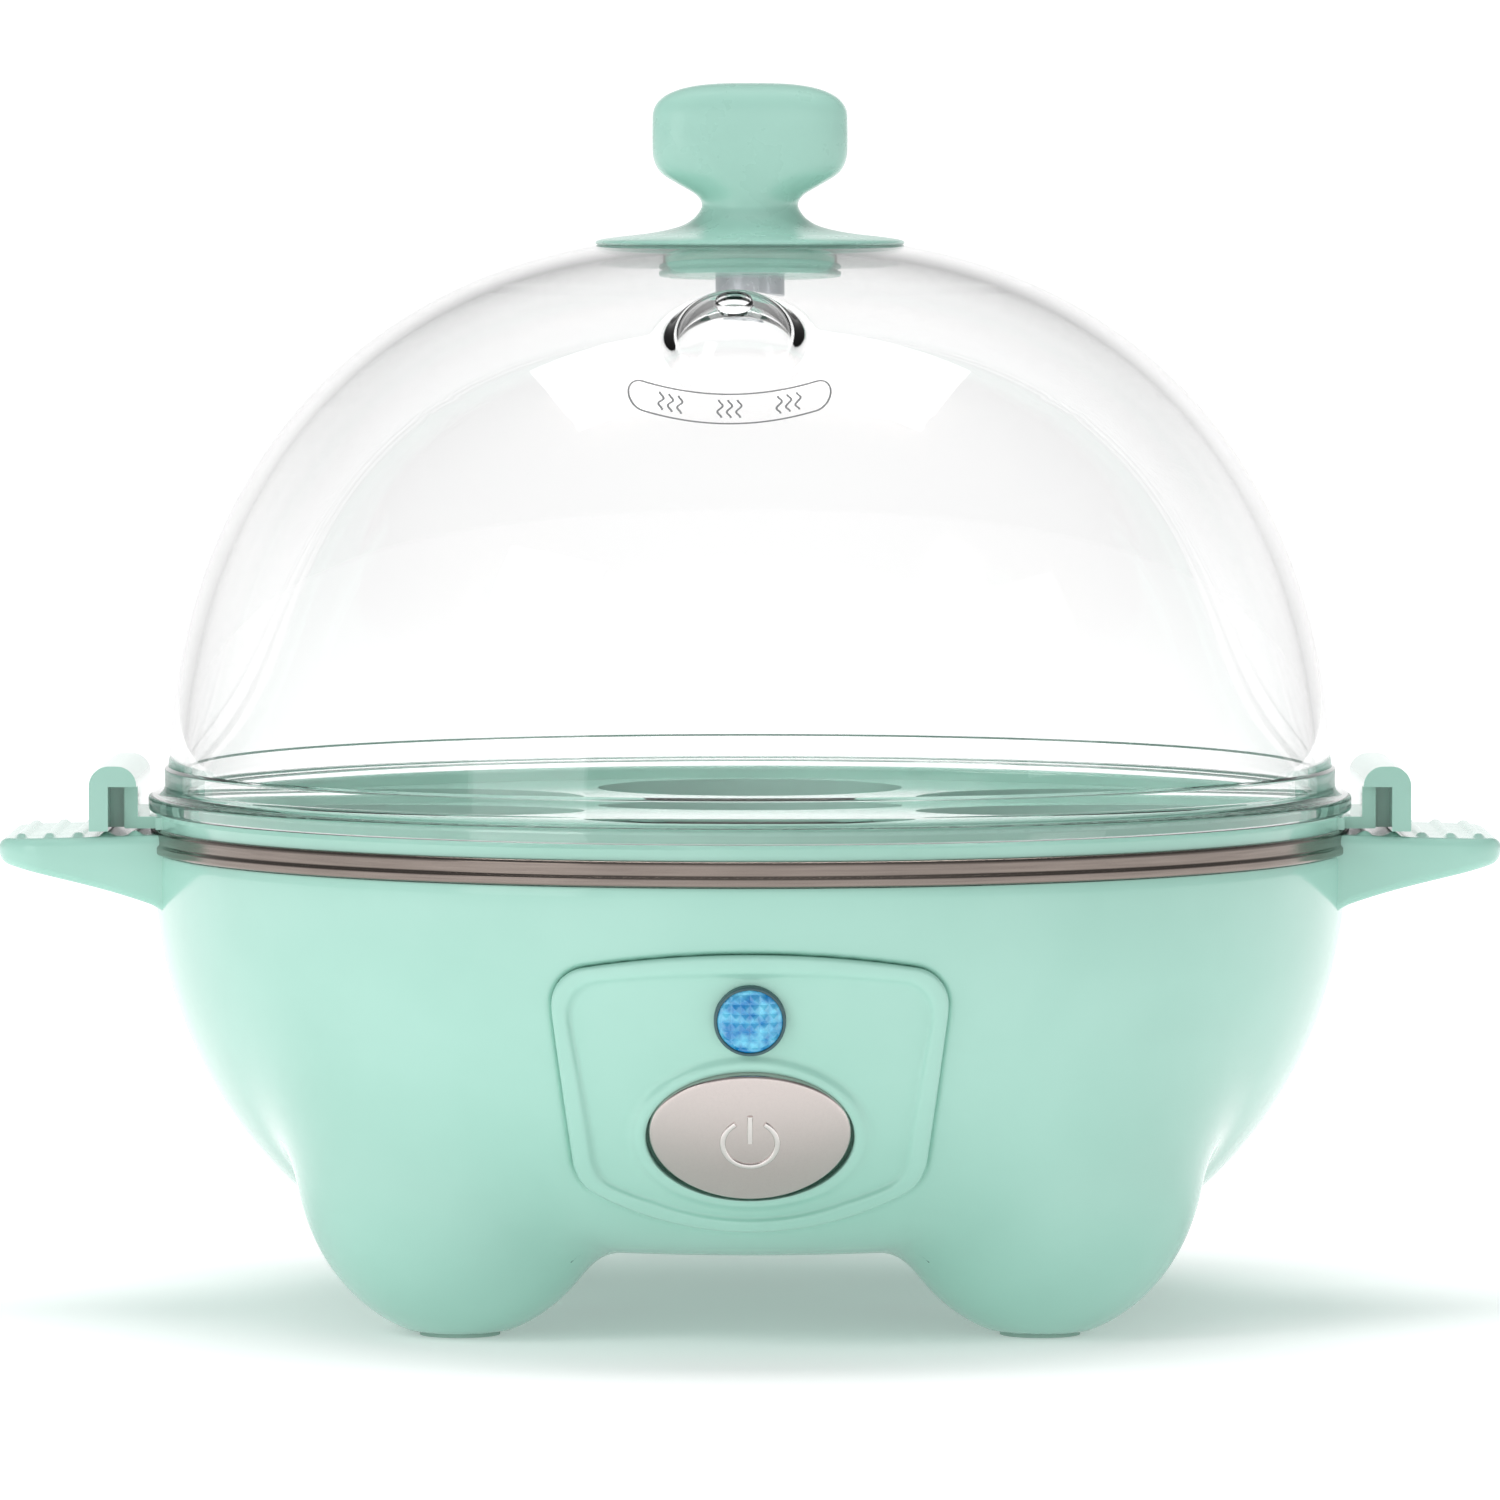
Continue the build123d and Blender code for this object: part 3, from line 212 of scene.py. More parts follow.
def lathe(profile: np.ndarray, steps: int = 192, angles: np.ndarray | None = None) -> np.ndarray:
    """Turns a profile of (radius, height) about the upright axis.

    Args:
        profile: the points, (m, 2).
        steps: how many even steps go round.
        angles: the angles themselves, where they aren't even.

    Returns:
        Points (steps, m, 3): radius * cos, radius * sin, height.
    """
    angle = np.arange(steps) * TAU / steps if angles is None else angles
    out = np.empty((len(angle), len(profile), 3))
    out[..., 0] = np.cos(angle)[:, None] * profile[:, 0]
    out[..., 1] = np.sin(angle)[:, None] * profile[:, 0]
    out[..., 2] = profile[:, 1]
    return out


def smooth_line(marks: list[tuple[float, ...]], count: int) -> np.ndarray:
    """A soft line through some marks: on each stretch the cubic whose ends slope like the line between the
    neighbours (a Catmull-Rom line).

    Args:
        marks: the points that it goes through.
        count: points on the whole line.

    Returns:
        The points, (count, dimensions).
    """
    mark = np.array(marks, float)
    mark = np.concatenate([2 * mark[:1] - mark[1:2], mark, 2 * mark[-1:] - mark[-2:-1]])
    way = np.linspace(0, len(marks) - 1, count)
    start = np.minimum(way.astype(int), len(marks) - 2)
    t = (way - start)[:, None]
    a, b, c, d = (mark[start + k] for k in range(4))
    return 0.5 * (2 * b + (c - a) * t + (2 * a - 5 * b + 4 * c - d) * t**2 + (3 * b - 3 * c + d - a) * t**3)


def blend_least(first: np.ndarray, second: np.ndarray, soft: np.ndarray | float) -> np.ndarray:
    """The lesser of two distances, with the crease between them filled in.

    Where they are within soft of each other, a quarter of soft times the square of their closeness is taken off.

    Args:
        first: one distance.
        second: the other.
        soft: how far apart they may be and still blend.

    Returns:
        The blended distance.
    """
    close = np.clip(1 - np.abs(first - second) / soft, 0, 1)
    return np.minimum(first, second) - soft * close**2 / 4


def settle(start: np.ndarray, way: np.ndarray, field: Callable[[np.ndarray], np.ndarray], reach: float,
           steps: int = 60) -> np.ndarray:
    """Walks each point in along its own direction until it lies on a surface.

    Every step goes back by the distance that the field gives there, so none passes through the surface.

    Args:
        start: points (u, v, 3).
        way: outward directions (u, v, 3).
        field: function of points that gives the distance to the surface, less than nil inside.
        reach: how far out the walk starts.
        steps: how many steps it takes.

    Returns:
        The settled points.
    """
    out = np.full(start.shape[:-1], reach)
    for _ in range(steps):
        out -= field(start + out[..., None] * way)
    return start + out[..., None] * way


def polygon_gap(points: np.ndarray, corners: np.ndarray) -> np.ndarray:
    """Distance from points to a convex polygon, less than nil inside: the least distance to any edge.

    Args:
        points: (m, 2).
        corners: (k, 2), anticlockwise.

    Returns:
        Distances, (m,).
    """
    edge = np.roll(corners, -1, 0) - corners
    rel = points[:, None] - corners
    share = np.clip((rel * edge).sum(-1) / (edge**2).sum(-1), 0, 1)
    gap = np.sqrt(((rel - share[..., None] * edge) ** 2).sum(-1)).min(1)
    inside = (edge[:, 0] * rel[..., 1] - edge[:, 1] * rel[..., 0] >= 0).all(1)
    return np.where(inside, -gap, gap)


def ribbon(path: np.ndarray, up: np.ndarray, width: float, height: float, closed: bool = False) -> Grid:
    """A thin raised line along a path on a surface.

    Its section is an arched strip: width * cos across and height * sin up, which sinks a little below the path.

    Args:
        path: points (n, 3).
        up: the surface's normals there, (n, 3).
        width: its full width.
        height: how far it stands up.
        closed: whether it runs into itself.

    Returns:
        The strip, with its ends drawn together.
    """
    along = np.roll(path, -1, 0) - np.roll(path, 1, 0)
    if not closed:
        along[0], along[-1] = path[1] - path[0], path[-1] - path[-2]
    side = np.cross(along, up)
    side /= np.linalg.norm(side, axis=1)[:, None]
    angle = np.arange(10) * TAU / 10
    across = np.sign(np.cos(angle)) * np.abs(np.cos(angle)) ** 0.6 * width / 2
    rise = np.sin(angle) * height
    points = path[:, None] + side[:, None] * across[:, None] + up[:, None] * rise[:, None]
    if closed:
        return Grid(points)
    ends = [np.repeat(path[i][None, None], 10, 1) for i in (0, -1)]
    return Grid(np.concatenate([ends[0], points, ends[1]]), wrap_u=False)


@dataclass(frozen=True)
class Seat:
    """A plane that a turned part stands on: its origin, and its right, up and outward directions."""

    origin: np.ndarray
    right: np.ndarray
    up: np.ndarray
    out: np.ndarray

    def place(self, local: np.ndarray) -> np.ndarray:
        """Puts local points (right, up, out) in the object's frame."""
        return self.origin + local @ np.stack([self.right, self.up, self.out])


# ---------------------------------------------------------------- finishes
class Grain(Enum):
    """Which way a metal was worked."""

    ROUND = "brushed or spun round the upright axis"
    CAST = "even in all directions"


@dataclass(frozen=True)
class MouldedPlastic:
    """Injection-moulded plastic: an even colour with faint flow shades, a soft gloss and a fine mould texture."""

    name: str
    colour: str
    shade: str
    roughness: float = 0.2
    coat: float = 0.25
    flow_mm: float = 22.0
    texture_mm: float = 0.5
    texture_depth: float = 0.012

    def material(self) -> bpy.types.Material:
        """Builds the finish.

        Returns:
            The material. Noise of flow_mm turns colour a little towards shade, noise a third of that size varies
            the gloss, and noise of texture_mm lifts the surface by texture_depth millimetres.
        """
        made = bpy.data.materials.new(self.name)
        made.use_nodes = True
        tree = made.node_tree
        tree.nodes.clear()
        place = add_node(tree, "ShaderNodeTexCoord").outputs["Object"]
        flow = add_node(tree, "ShaderNodeTexNoise", None,
                        {"Vector": place, "Scale": 1000 / self.flow_mm, "Detail": 3.0, "Roughness": 0.45})
        tone = add_node(tree, "ShaderNodeMapRange", None, {0: flow.outputs["Fac"], 1: 0.35, 2: 0.7, 3: 0.0, 4: 1.0})
        colour = add_node(tree, "ShaderNodeMix", {"data_type": "RGBA"},
                          {0: tone.outputs[0], 6: linear(self.colour), 7: linear(self.shade)})
        smear = add_node(tree, "ShaderNodeTexNoise", None,
                         {"Vector": place, "Scale": 3000 / self.flow_mm, "Detail": 4.0, "Roughness": 0.6})
        gloss = add_node(tree, "ShaderNodeMapRange", None,
                         {0: smear.outputs["Fac"], 1: 0.3, 2: 0.75, 3: self.roughness * 0.85, 4: self.roughness * 1.2})
        skin = add_node(tree, "ShaderNodeTexNoise", None,
                        {"Vector": place, "Scale": 1000 / self.texture_mm, "Detail": 1.0})
        bump = add_node(tree, "ShaderNodeBump", None,
                        {"Strength": 0.5, "Distance": self.texture_depth * MM, "Height": skin.outputs["Fac"]})
        shader = add_node(tree, "ShaderNodeBsdfPrincipled", None,
                          {"Base Color": colour.outputs[2], "Roughness": gloss.outputs[0], "IOR": 1.49,
                           "Coat Weight": self.coat, "Coat Roughness": 0.06, "Normal": bump.outputs[0]})
        add_node(tree, "ShaderNodeOutputMaterial", None, {"Surface": shader.outputs[0]})
        return made


@dataclass(frozen=True)
class ClearPlastic:
    """Clear moulded plastic: it shows by its edges and reflections, with faint smears in its gloss."""

    name: str
    colour: str = "#FFFFFF"
    roughness: float = 0.015
    ior: float = 1.5
    glow: float = 0.0
    glow_colour: str = "#FFFFFF"
    lit_through: float = 0.85

    def material(self) -> bpy.types.Material:
        """Builds the finish.

        Returns:
            The material: a transmitting shader with smears of 9 mm in its gloss. Lamps shine through it by a
            share of lit_through, tinted with its colour, because a thin wall throws hardly any shadow.
        """
        made = bpy.data.materials.new(self.name)
        made.use_nodes = True
        tree = made.node_tree
        tree.nodes.clear()
        place = add_node(tree, "ShaderNodeTexCoord").outputs["Object"]
        smear = add_node(tree, "ShaderNodeTexNoise", None,
                         {"Vector": place, "Scale": 1000 / 9, "Detail": 4.0, "Roughness": 0.6})
        gloss = add_node(tree, "ShaderNodeMapRange", None,
                         {0: smear.outputs["Fac"], 1: 0.3, 2: 0.8, 3: self.roughness * 0.5, 4: self.roughness * 1.6})
        shader = add_node(tree, "ShaderNodeBsdfPrincipled", None,
                          {"Base Color": linear(self.colour), "Roughness": gloss.outputs[0], "IOR": self.ior,
                           "Transmission Weight": 1.0, "Emission Color": linear(self.glow_colour),
                           "Emission Strength": self.glow})
        clear = add_node(tree, "ShaderNodeBsdfTransparent", None, {"Color": linear(self.colour)})
        path = add_node(tree, "ShaderNodeLightPath")
        share = add_node(tree, "ShaderNodeMath", {"operation": "MULTIPLY"},
                         {0: path.outputs["Is Shadow Ray"], 1: self.lit_through})
        both = add_node(tree, "ShaderNodeMixShader", None,
                        {0: share.outputs[0], 1: shader.outputs[0], 2: clear.outputs[0]})
        add_node(tree, "ShaderNodeOutputMaterial", None, {"Surface": both.outputs[0]})
        return made


@dataclass(frozen=True)
class WorkedMetal:
    """Metal sheet, rod or plating: its colour and gloss change along fine lines or spots left by the working."""

    name: str
    colour: str
    shade: str
    roughness: float = 0.3
    grain: Grain = Grain.CAST
    line_mm: float = 0.35
    depth_mm: float = 0.006

    def material(self) -> bpy.types.Material:
        """Builds the finish.

        Returns:
            The material. For brushed metal the noise is read at (x, y) stretched thirty times and at height plus
            radius unstretched, so its lines run round; otherwise it is read evenly.
        """
        made = bpy.data.materials.new(self.name)
        made.use_nodes = True
        tree = made.node_tree
        tree.nodes.clear()
        place = add_node(tree, "ShaderNodeTexCoord").outputs["Object"]
        if self.grain is Grain.ROUND:
            split = add_node(tree, "ShaderNodeSeparateXYZ", None, {0: place})
            flat = add_node(tree, "ShaderNodeCombineXYZ", None, {0: split.outputs[0], 1: split.outputs[1]})
            radius = add_node(tree, "ShaderNodeVectorMath", {"operation": "LENGTH"}, {0: flat.outputs[0]})
            across = add_node(tree, "ShaderNodeMath", {"operation": "ADD"},
                              {0: radius.outputs["Value"], 1: split.outputs[2]})
            long = add_node(tree, "ShaderNodeVectorMath", {"operation": "SCALE"},
                            {0: flat.outputs[0], "Scale": 1 / 30})
            parts = add_node(tree, "ShaderNodeSeparateXYZ", None, {0: long.outputs[0]})
            place = add_node(tree, "ShaderNodeCombineXYZ", None,
                             {0: parts.outputs[0], 1: parts.outputs[1], 2: across.outputs[0]}).outputs[0]
        lines = add_node(tree, "ShaderNodeTexNoise", None,
                         {"Vector": place, "Scale": 1000 / self.line_mm, "Detail": 3.0, "Roughness": 0.55})
        colour = add_node(tree, "ShaderNodeMix", {"data_type": "RGBA"},
                          {0: lines.outputs["Fac"], 6: linear(self.colour), 7: linear(self.shade)})
        gloss = add_node(tree, "ShaderNodeMapRange", None,
                         {0: lines.outputs["Fac"], 1: 0.3, 2: 0.7, 3: self.roughness * 0.8, 4: self.roughness * 1.25})
        bump = add_node(tree, "ShaderNodeBump", None,
                        {"Strength": 0.35, "Distance": self.depth_mm * MM, "Height": lines.outputs["Fac"]})
        shader = add_node(tree, "ShaderNodeBsdfPrincipled", None,
                          {"Base Color": colour.outputs[2], "Metallic": 1.0, "Roughness": gloss.outputs[0],
                           "Normal": bump.outputs[0]})
        add_node(tree, "ShaderNodeOutputMaterial", None, {"Surface": shader.outputs[0]})
        return made


class Workshop:
    """Keeps one material for each finish."""

    def __init__(self) -> None:
        """Starts with nothing made."""
        self.made: dict[str, bpy.types.Material] = {}

    def get(self, finish: MouldedPlastic | ClearPlastic | WorkedMetal) -> bpy.types.Material:
        """Builds a finish's material the first time and gives it again after that."""
        if finish.name not in self.made:
            self.made[finish.name] = finish.material()
        return self.made[finish.name]

    def dress(self, node: str, finish: MouldedPlastic | ClearPlastic | WorkedMetal) -> None:
        """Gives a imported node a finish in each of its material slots.

        Args:
            node: the node's name.
            finish: its finish.
        """
        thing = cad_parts[node]
        if not thing.material_slots:
            thing.data.materials.append(self.get(finish))
        for held in thing.material_slots:
            held.material = self.get(finish)
        LOG.info("%s: %s", node, finish.name)


# Glossy polypropylene in pale aqua: a deep even colour under soft wide highlights.
AQUA = MouldedPlastic("aqua_polypropylene_moulded", "#A7D6C8", "#A0D1C2", 0.15, 0.3)
# The same plastic on the tray, a little thinner and so a little paler.
AQUA_TRAY = MouldedPlastic("aqua_polypropylene_tray", "#A1CEC0", "#9AC9BA", 0.1, 0.3)
# The knob's grade has a satin surface.
AQUA_KNOB = MouldedPlastic("aqua_polypropylene_satin", "#A9D7C9", "#A3D2C4", 0.28, 0.2)
# Copolyester that doesn't craze in steam: water-clear, seen by its rim and its reflections.
CLEAR = ClearPlastic("clear_copolyester_moulded")
# Austenitic stainless sheet, spun and brushed round: brownish grey with bright edges.
STEEL = WorkedMetal("stainless_steel_brushed", "#90867F", "#7B716B", 0.2, Grain.ROUND)
# Zinc-plated steel screws: bluish grey with a faint mottle.
ZINC = WorkedMetal("zinc_plated_steel", "#C4C7CC", "#AEB2B8", 0.32, Grain.CAST, 0.6)
# Rolled aluminium sheet.
ALUMINIUM = WorkedMetal("rolled_aluminium", "#D3D4D6", "#BDBFC2", 0.36, Grain.ROUND, 0.5)
# The element's steel sheath, browned by heat.
SHEATH = WorkedMetal("oxidised_steel_sheath", "#8A7D72", "#5E554F", 0.45, Grain.CAST, 2.5)
# Turned brass.
BRASS = WorkedMetal("turned_brass", "#D2B36A", "#B9994F", 0.28, Grain.CAST, 0.4)
# Metallised ABS with a satin lacquer: a warm silver.
SATIN_SILVER = WorkedMetal("metallised_abs_satin", "#CBC1BE", "#C4BAB7", 0.2, Grain.CAST, 0.3, 0.001)
# Silicone rubber: matt and slightly milky.
SILICONE = MouldedPlastic("silicone_rubber_moulded", "#DADAD4", "#CFCFC8", 0.6, 0.0)
# Thermoplastic rubber of the feet's pads.
PAD = MouldedPlastic("thermoplastic_rubber_pad", "#B4CFC5", "#A6C2B8", 0.75, 0.0, 8.0, 0.4, 0.03)
# Tinted blue acrylic of the lens, pressed into facets, under a hard gloss: deep blue, with pale blue patches painted in
# as glints of light in the facets.
BLUE_WITH_PAINTED_GLINTS = MouldedPlastic("blue_acrylic_painted_glints", "#0780C2", "#6CCFEE", 0.05, 1.0, 1.6, 0.5, 0.0)
# The button's sign is coloured paler than the cap round it, a painted highlight along its raised strokes.
SIGN_SILVER_PAINTED_HIGHLIGHT = WorkedMetal("metallised_abs_painted_highlight", "#E4DEDC", "#DBD4D1", 0.22, Grain.CAST, 0.3, 0.001)
# Epoxy body of the light-emitting diode.
EPOXY = ClearPlastic("clear_epoxy_cast", "#DCEFF7", 0.05, 1.5, 0.0)
# Glass-fibre board under green solder mask.
BOARD = MouldedPlastic("solder_mask_board", "#1E6B3C", "#175A31", 0.35, 0.2, 4.0)
# Black glass-filled nylon, slightly grained.
BLACK = MouldedPlastic("black_nylon_moulded", "#2A2A2B", "#202021", 0.5, 0.0, 9.0, 0.35, 0.03)
# White urea resin of the electrical parts.
WHITE = MouldedPlastic("white_urea_moulded", "#E9E8E2", "#DEDCD4", 0.4, 0.05)
# Silicone-rubber sleeving of the leads.
SLEEVE = MouldedPlastic("silicone_sleeving", "#E6E4DC", "#D6D3C8", 0.55, 0.0, 5.0, 0.3, 0.03)
# Grey screen-printing ink.
INK = MouldedPlastic("grey_screen_ink", "#8C8E8F", "#7F8183", 0.6, 0.0, 3.0, 0.2)
# Dark teal ring round the lens.
DARK_TEAL_RING = MouldedPlastic("dark_teal_lens_ring", "#3E5F63", "#35545A", 0.5, 0.1, 3.0, 0.2)


# ---------------------------------------------------------------- shared outlines
@dataclass(frozen=True)
class BowlLine:
    """The upright curve of the housing: an arc of radius arc, whose centre is at the widest point's height."""

    widest: float = 76.0
    widest_z: float = 55.5
    arc: float = 53.36

    def centre(self) -> float:
        """Distance of the arc's centre from the axis."""
        return self.widest - self.arc

    def radius(self, z: np.ndarray | float, inset: float = 0.0) -> np.ndarray:
        """Radius at a height: the centre's distance plus the root of arc squared less rise squared."""
        return self.centre() + np.sqrt((self.arc - inset) ** 2 - (z - self.widest_z) ** 2)


@dataclass(frozen=True)
class PanelLine:
    """Front and outline of the control panel."""

    arc: float = 57.96
    centre: float = 18.84
    widest_z: float = 55.5
    top: float = 50.2
    low: float = 15.1
    half_top: float = 24.6
    half_low: float = 21.2
    arch: float = 2.6
    bowl: float = 6.2
    corner: float = 4.6

    def front(self, x: np.ndarray, z: np.ndarray, out: np.ndarray | float = 0.0) -> np.ndarray:
        """Depth of the panel's front: less the root of the turned radius at that height squared less x squared.

        Args:
            x: distance to the right.
            z: height.
            out: distance in front of the panel's surface.

        Returns:
            The y of each point.
        """
        radius = self.centre + np.sqrt((self.arc + out) ** 2 - (z - self.widest_z) ** 2)
        return -np.sqrt(radius**2 - x**2)

    def seat(self, z: float) -> Seat:
        """The plane that touches the panel at a height, facing out.

        Args:
            z: the height.

        Returns:
            The plane. It tilts by the angle whose sine is the drop under the widest point over the arc.
        """
        tilt = asin((self.widest_z - z) / self.arc)
        y = float(self.front(np.array(0.0), np.array(z)))
        return Seat(np.array([0, y, z]), np.array([1.0, 0, 0]), np.array([0, -sin(tilt), cos(tilt)]),
                    np.array([0, -cos(tilt), -sin(tilt)]))

    def core(self, rays: int = 180) -> np.ndarray:
        """The outline moved in by its corners' radius, so that a distance of that radius from it is the rounded
        outline. On each ray from the middle it is where the first of four edges is met: two arcs and two sides.

        Args:
            rays: how many rays go round.

        Returns:
            Its points (rays, 2), anticlockwise.
        """
        high = self.top - self.arch
        low = self.low + self.bowl
        top_arc = (self.half_top**2 + self.arch**2) / (2 * self.arch)
        low_arc = (self.half_low**2 + self.bowl**2) / (2 * self.bowl)
        lean = np.array([high - low, self.half_low - self.half_top])
        lean /= np.hypot(*lean)

        def outside(x: np.ndarray, z: np.ndarray) -> np.ndarray:
            """Greatest of the four edges' distances.

            Args:
                x: distance to the right.
                z: height.

            Returns:
                Distances, less than nil inside.
            """
            side = (np.abs(x) - self.half_low) * lean[0] + (z - low) * lean[1]
            over = np.hypot(x, z - self.top + top_arc) - top_arc
            under = np.hypot(x, z - self.low - low_arc) - low_arc
            return np.maximum(side, np.maximum(over, under)) + self.corner

        middle = np.array([0, (high + low) / 2])
        angle = np.arange(rays) * TAU / rays
        near, far = np.zeros(rays), np.full(rays, 40.0)
        for _ in range(40):
            half = (near + far) / 2
            out = outside(half * np.cos(angle), middle[1] + half * np.sin(angle)) > 0
            near, far = np.where(out, near, half), np.where(out, half, far)
        return middle + near[:, None] * np.stack([np.cos(angle), np.sin(angle)], -1)

    def level(self, angle: np.ndarray, z: float, gap: float) -> np.ndarray:
        """How far along each ray from (0, z) the outline lies, when it is grown by gap.

        Args:
            angle: the rays' angles.
            z: height that they start from.
            gap: distance outside the outline, less than nil inside.

        Returns:
            Lengths along the rays.
        """
        core = self.core()
        ray = np.stack([np.cos(angle), np.sin(angle)], -1)
        near, far = np.zeros(len(angle)), np.full(len(angle), 45.0)
        for _ in range(30):
            half = (near + far) / 2
            out = polygon_gap(np.array([0, z]) + half[:, None] * ray, core) - self.corner > gap
            near, far = np.where(out, near, half), np.where(out, half, far)
        return near


# ---------------------------------------------------------------- base
@dataclass
class Housing:
    """The moulded bowl with its four round feet and two side wings."""

    shop: Workshop
    bowl: BowlLine = BowlLine()
    panel: PanelLine = PanelLine()
    mouth_z: float = 58.3
    belly_z: float = 10.3
    belly_r: float = 51.0
    opening_r: float = 30.4
    wall: float = 2.4
    lobe_r: float = 20.6
    lobe_half: float = 24.2
    lobe_z: float = 23.6
    sole_z: float = 0.6
    blend_low: float = 3.0
    blend_high: float = 10.0
    wing_root: float = 71.5
    wing_tip: float = 95.0
    wing_top: float = 60.9
    wing_half: float = 17.0

    def field(self, point: np.ndarray) -> np.ndarray:
        """Distance to the bowl and its feet, with the creases between them filled in.

        The bowl is the lesser inside of its arc and its belly. A foot is an ellipsoid: with k0 the point divided
        by its half axes and k1 divided by their squares, the distance is k0 * (k0 - 1) / k1.

        Args:
            point: points (..., 3).

        Returns:
            Distances.
        """
        radius = np.hypot(point[..., 0], point[..., 1])
        side = np.hypot(radius - self.bowl.centre(), point[..., 2] - self.bowl.widest_z) - self.bowl.arc
        bowl = -blend_least(-side, point[..., 2] - self.belly_z, 6.0)
        soft = np.interp(point[..., 2], [12.0, 38.0], [self.blend_low, self.blend_high])
        for turn in (1, 3, 5, 7):
            centre = np.array([cos(turn * np.pi / 4), sin(turn * np.pi / 4), 0]) * self.belly_r
            local = (point - centre - np.array([0, 0, self.lobe_z]))
            half = np.array([self.lobe_r, self.lobe_r, self.lobe_half])
            k0 = np.linalg.norm(local / half, axis=-1)
            k1 = np.linalg.norm(local / half**2, axis=-1)
            bowl = blend_least(bowl, k0 * (k0 - 1) / k1, soft)
        return bowl

    def skin(self) -> Grid:
        """The housing's outside and inside as one closed surface.

        Rows run down the bowl's arc, round its lower corner and in under the belly. Each point starts off the
        plain bowl and settles on the blended field. Round the panel the surface turns in to leave a joint.

        Returns:
            The grid: angle by row.
        """
        fine = radians(20.5)
        angle = np.concatenate([np.linspace(-fine, fine, 168), np.linspace(fine, TAU - fine, 250)[1:-1]]) - np.pi / 2
        height = np.concatenate([np.linspace(self.mouth_z - 0.5, 51.5, 8), np.linspace(51.2, 15.0, 118),
                                 np.linspace(14.6, self.belly_z, 10)])
        radius = self.bowl.radius(height)
        slope = np.arctan2(height - self.bowl.widest_z, radius - self.bowl.centre())
        fan = np.linspace(slope[-1], -np.pi / 2, 9)[1:]
        under = np.linspace(self.belly_r, self.opening_r, 30)[1:]
        base = np.stack([np.concatenate([radius, np.full(8, radius[-1]), under]),
                         np.concatenate([height, np.full(8 + len(under), self.belly_z)])], -1)
        lean = np.concatenate([slope, fan, np.full(len(under), -np.pi / 2)])
        start = lathe(base, angles=angle)
        way = lathe(np.stack([np.cos(lean), np.sin(lean)], -1), angles=angle)
        outer = settle(start, way, self.field, 22.0)
        outer[..., 2] = np.maximum(outer[..., 2], self.sole_z)
        zone = (outer[..., 1] < 0) & (np.abs(outer[..., 0]) < 27) & (np.abs(outer[..., 2] - 33) < 20)
        gap = polygon_gap(outer[zone][:, [0, 2]], self.panel.core()) - self.panel.corner
        sunk = 0.5 * np.clip(1 - (gap - 0.1) / 0.6, 0, 1) ** 2 + 2.4 * np.clip(-gap / 0.6, 0, 1)
        outer[zone] -= way[zone] * sunk[:, None]
        inner = rounded([(self.opening_r - 0.3, self.belly_z + 0.3, 0), (self.opening_r - 0.3, 12.3, 0),
                         (27.1, 12.3, 0.2), (27.1, 14.3, 0.2), (32.0, 14.3, 0.2), (32.0, 12.7, 0),
                         (self.bowl.radius(13.0, self.wall), 12.7, 0)], closed=False, run=6)
        up = np.linspace(14.0, self.mouth_z - 0.4, 12)
        wall = np.stack([self.bowl.radius(up, self.wall), up], -1)
        lip_in, lip_out = self.bowl.radius(self.mouth_z, self.wall), self.bowl.radius(self.mouth_z)
        lip = np.array([[lip_in + 0.1, self.mouth_z - 0.1], [lip_in + 0.4, self.mouth_z],
                        [lip_out - 0.4, self.mouth_z], [lip_out - 0.1, self.mouth_z - 0.12]])
        rest = lathe(np.concatenate([inner, wall, lip]), angles=angle)
        return Grid(np.concatenate([outer, rest], axis=1))

    def wing(self, turn: float) -> Grid:
        """One side wing, root first.

        At each distance from the axis the section is a rounded box. Its half width draws in round the plan's
        corners and its thickness tapers to a rounded tip. Low round ridges stand across the top near the tip:
        each is a flattened bell of the fourth power along the wing, and ends short of the wing's edges.

        Args:
            turn: its direction, as an angle about the axis.

        Returns:
            The wing with its ends closed.
        """
        tip = self.wing_tip - 0.02
        out = np.concatenate([np.linspace(self.wing_root, 82, 22), np.linspace(82.2, tip - 1.5, 60),
                              tip - 1.5 * (1 - np.sin(np.linspace(0, np.pi / 2, 12)))[1:]])
        share = (out - self.wing_root) / (tip - self.wing_root)
        top = self.wing_top - 0.6 * share
        low = np.interp(share, [0, 0.16, 1], [49.6, 51.6, 57.4])
        low = low + 0.9 * np.sin(np.pi * np.clip(share, 0, 1)) * (1 - share)
        ease = 1.25 * (1 - np.sqrt(np.clip(1 - np.clip((out - tip + 1.5) / 1.5, 0, 1) ** 2, 0, 1)))
        top, low = top - ease, low + ease
        reach = np.clip((out - (self.wing_tip - 6)) / 6, 0, 0.995)
        half = self.wing_half - 6 * (1 - np.sqrt(1 - reach**2))
        flat = np.concatenate([np.sin(np.linspace(np.pi / 2, 0, 6)) * 0.07 + 0.93, np.linspace(0.9, -0.9, 33),
                               -0.93 - 0.07 * np.sin(np.linspace(0, np.pi / 2, 6))])
        depth = np.concatenate([1 - np.cos(np.linspace(np.pi / 2, 0, 6)), np.zeros(33),
                                1 - np.cos(np.linspace(0, np.pi / 2, 6))])
        count = 2 * len(flat)
        ridge = sum(np.exp(-((out - x) / 0.7) ** 4) for x in (92.0, 88.4, 84.8, 81.2, 77.6))
        side = half[:, None] * flat
        end = np.clip((half[:, None] - np.abs(side) - 1.4) / 1.0, 0, 1)
        edge = np.minimum(1.1, (top - low) / 2)[:, None] * depth
        over = top[:, None] - edge + 0.5 * ridge[:, None] * end * end * (3 - 2 * end)
        under = low[:, None] + edge
        x = np.repeat(out[:, None], count, 1)
        y = np.concatenate([side, side[:, ::-1]], 1)
        z = np.concatenate([over, under[:, ::-1]], 1)
        shape = np.stack([x, y, z], -1)
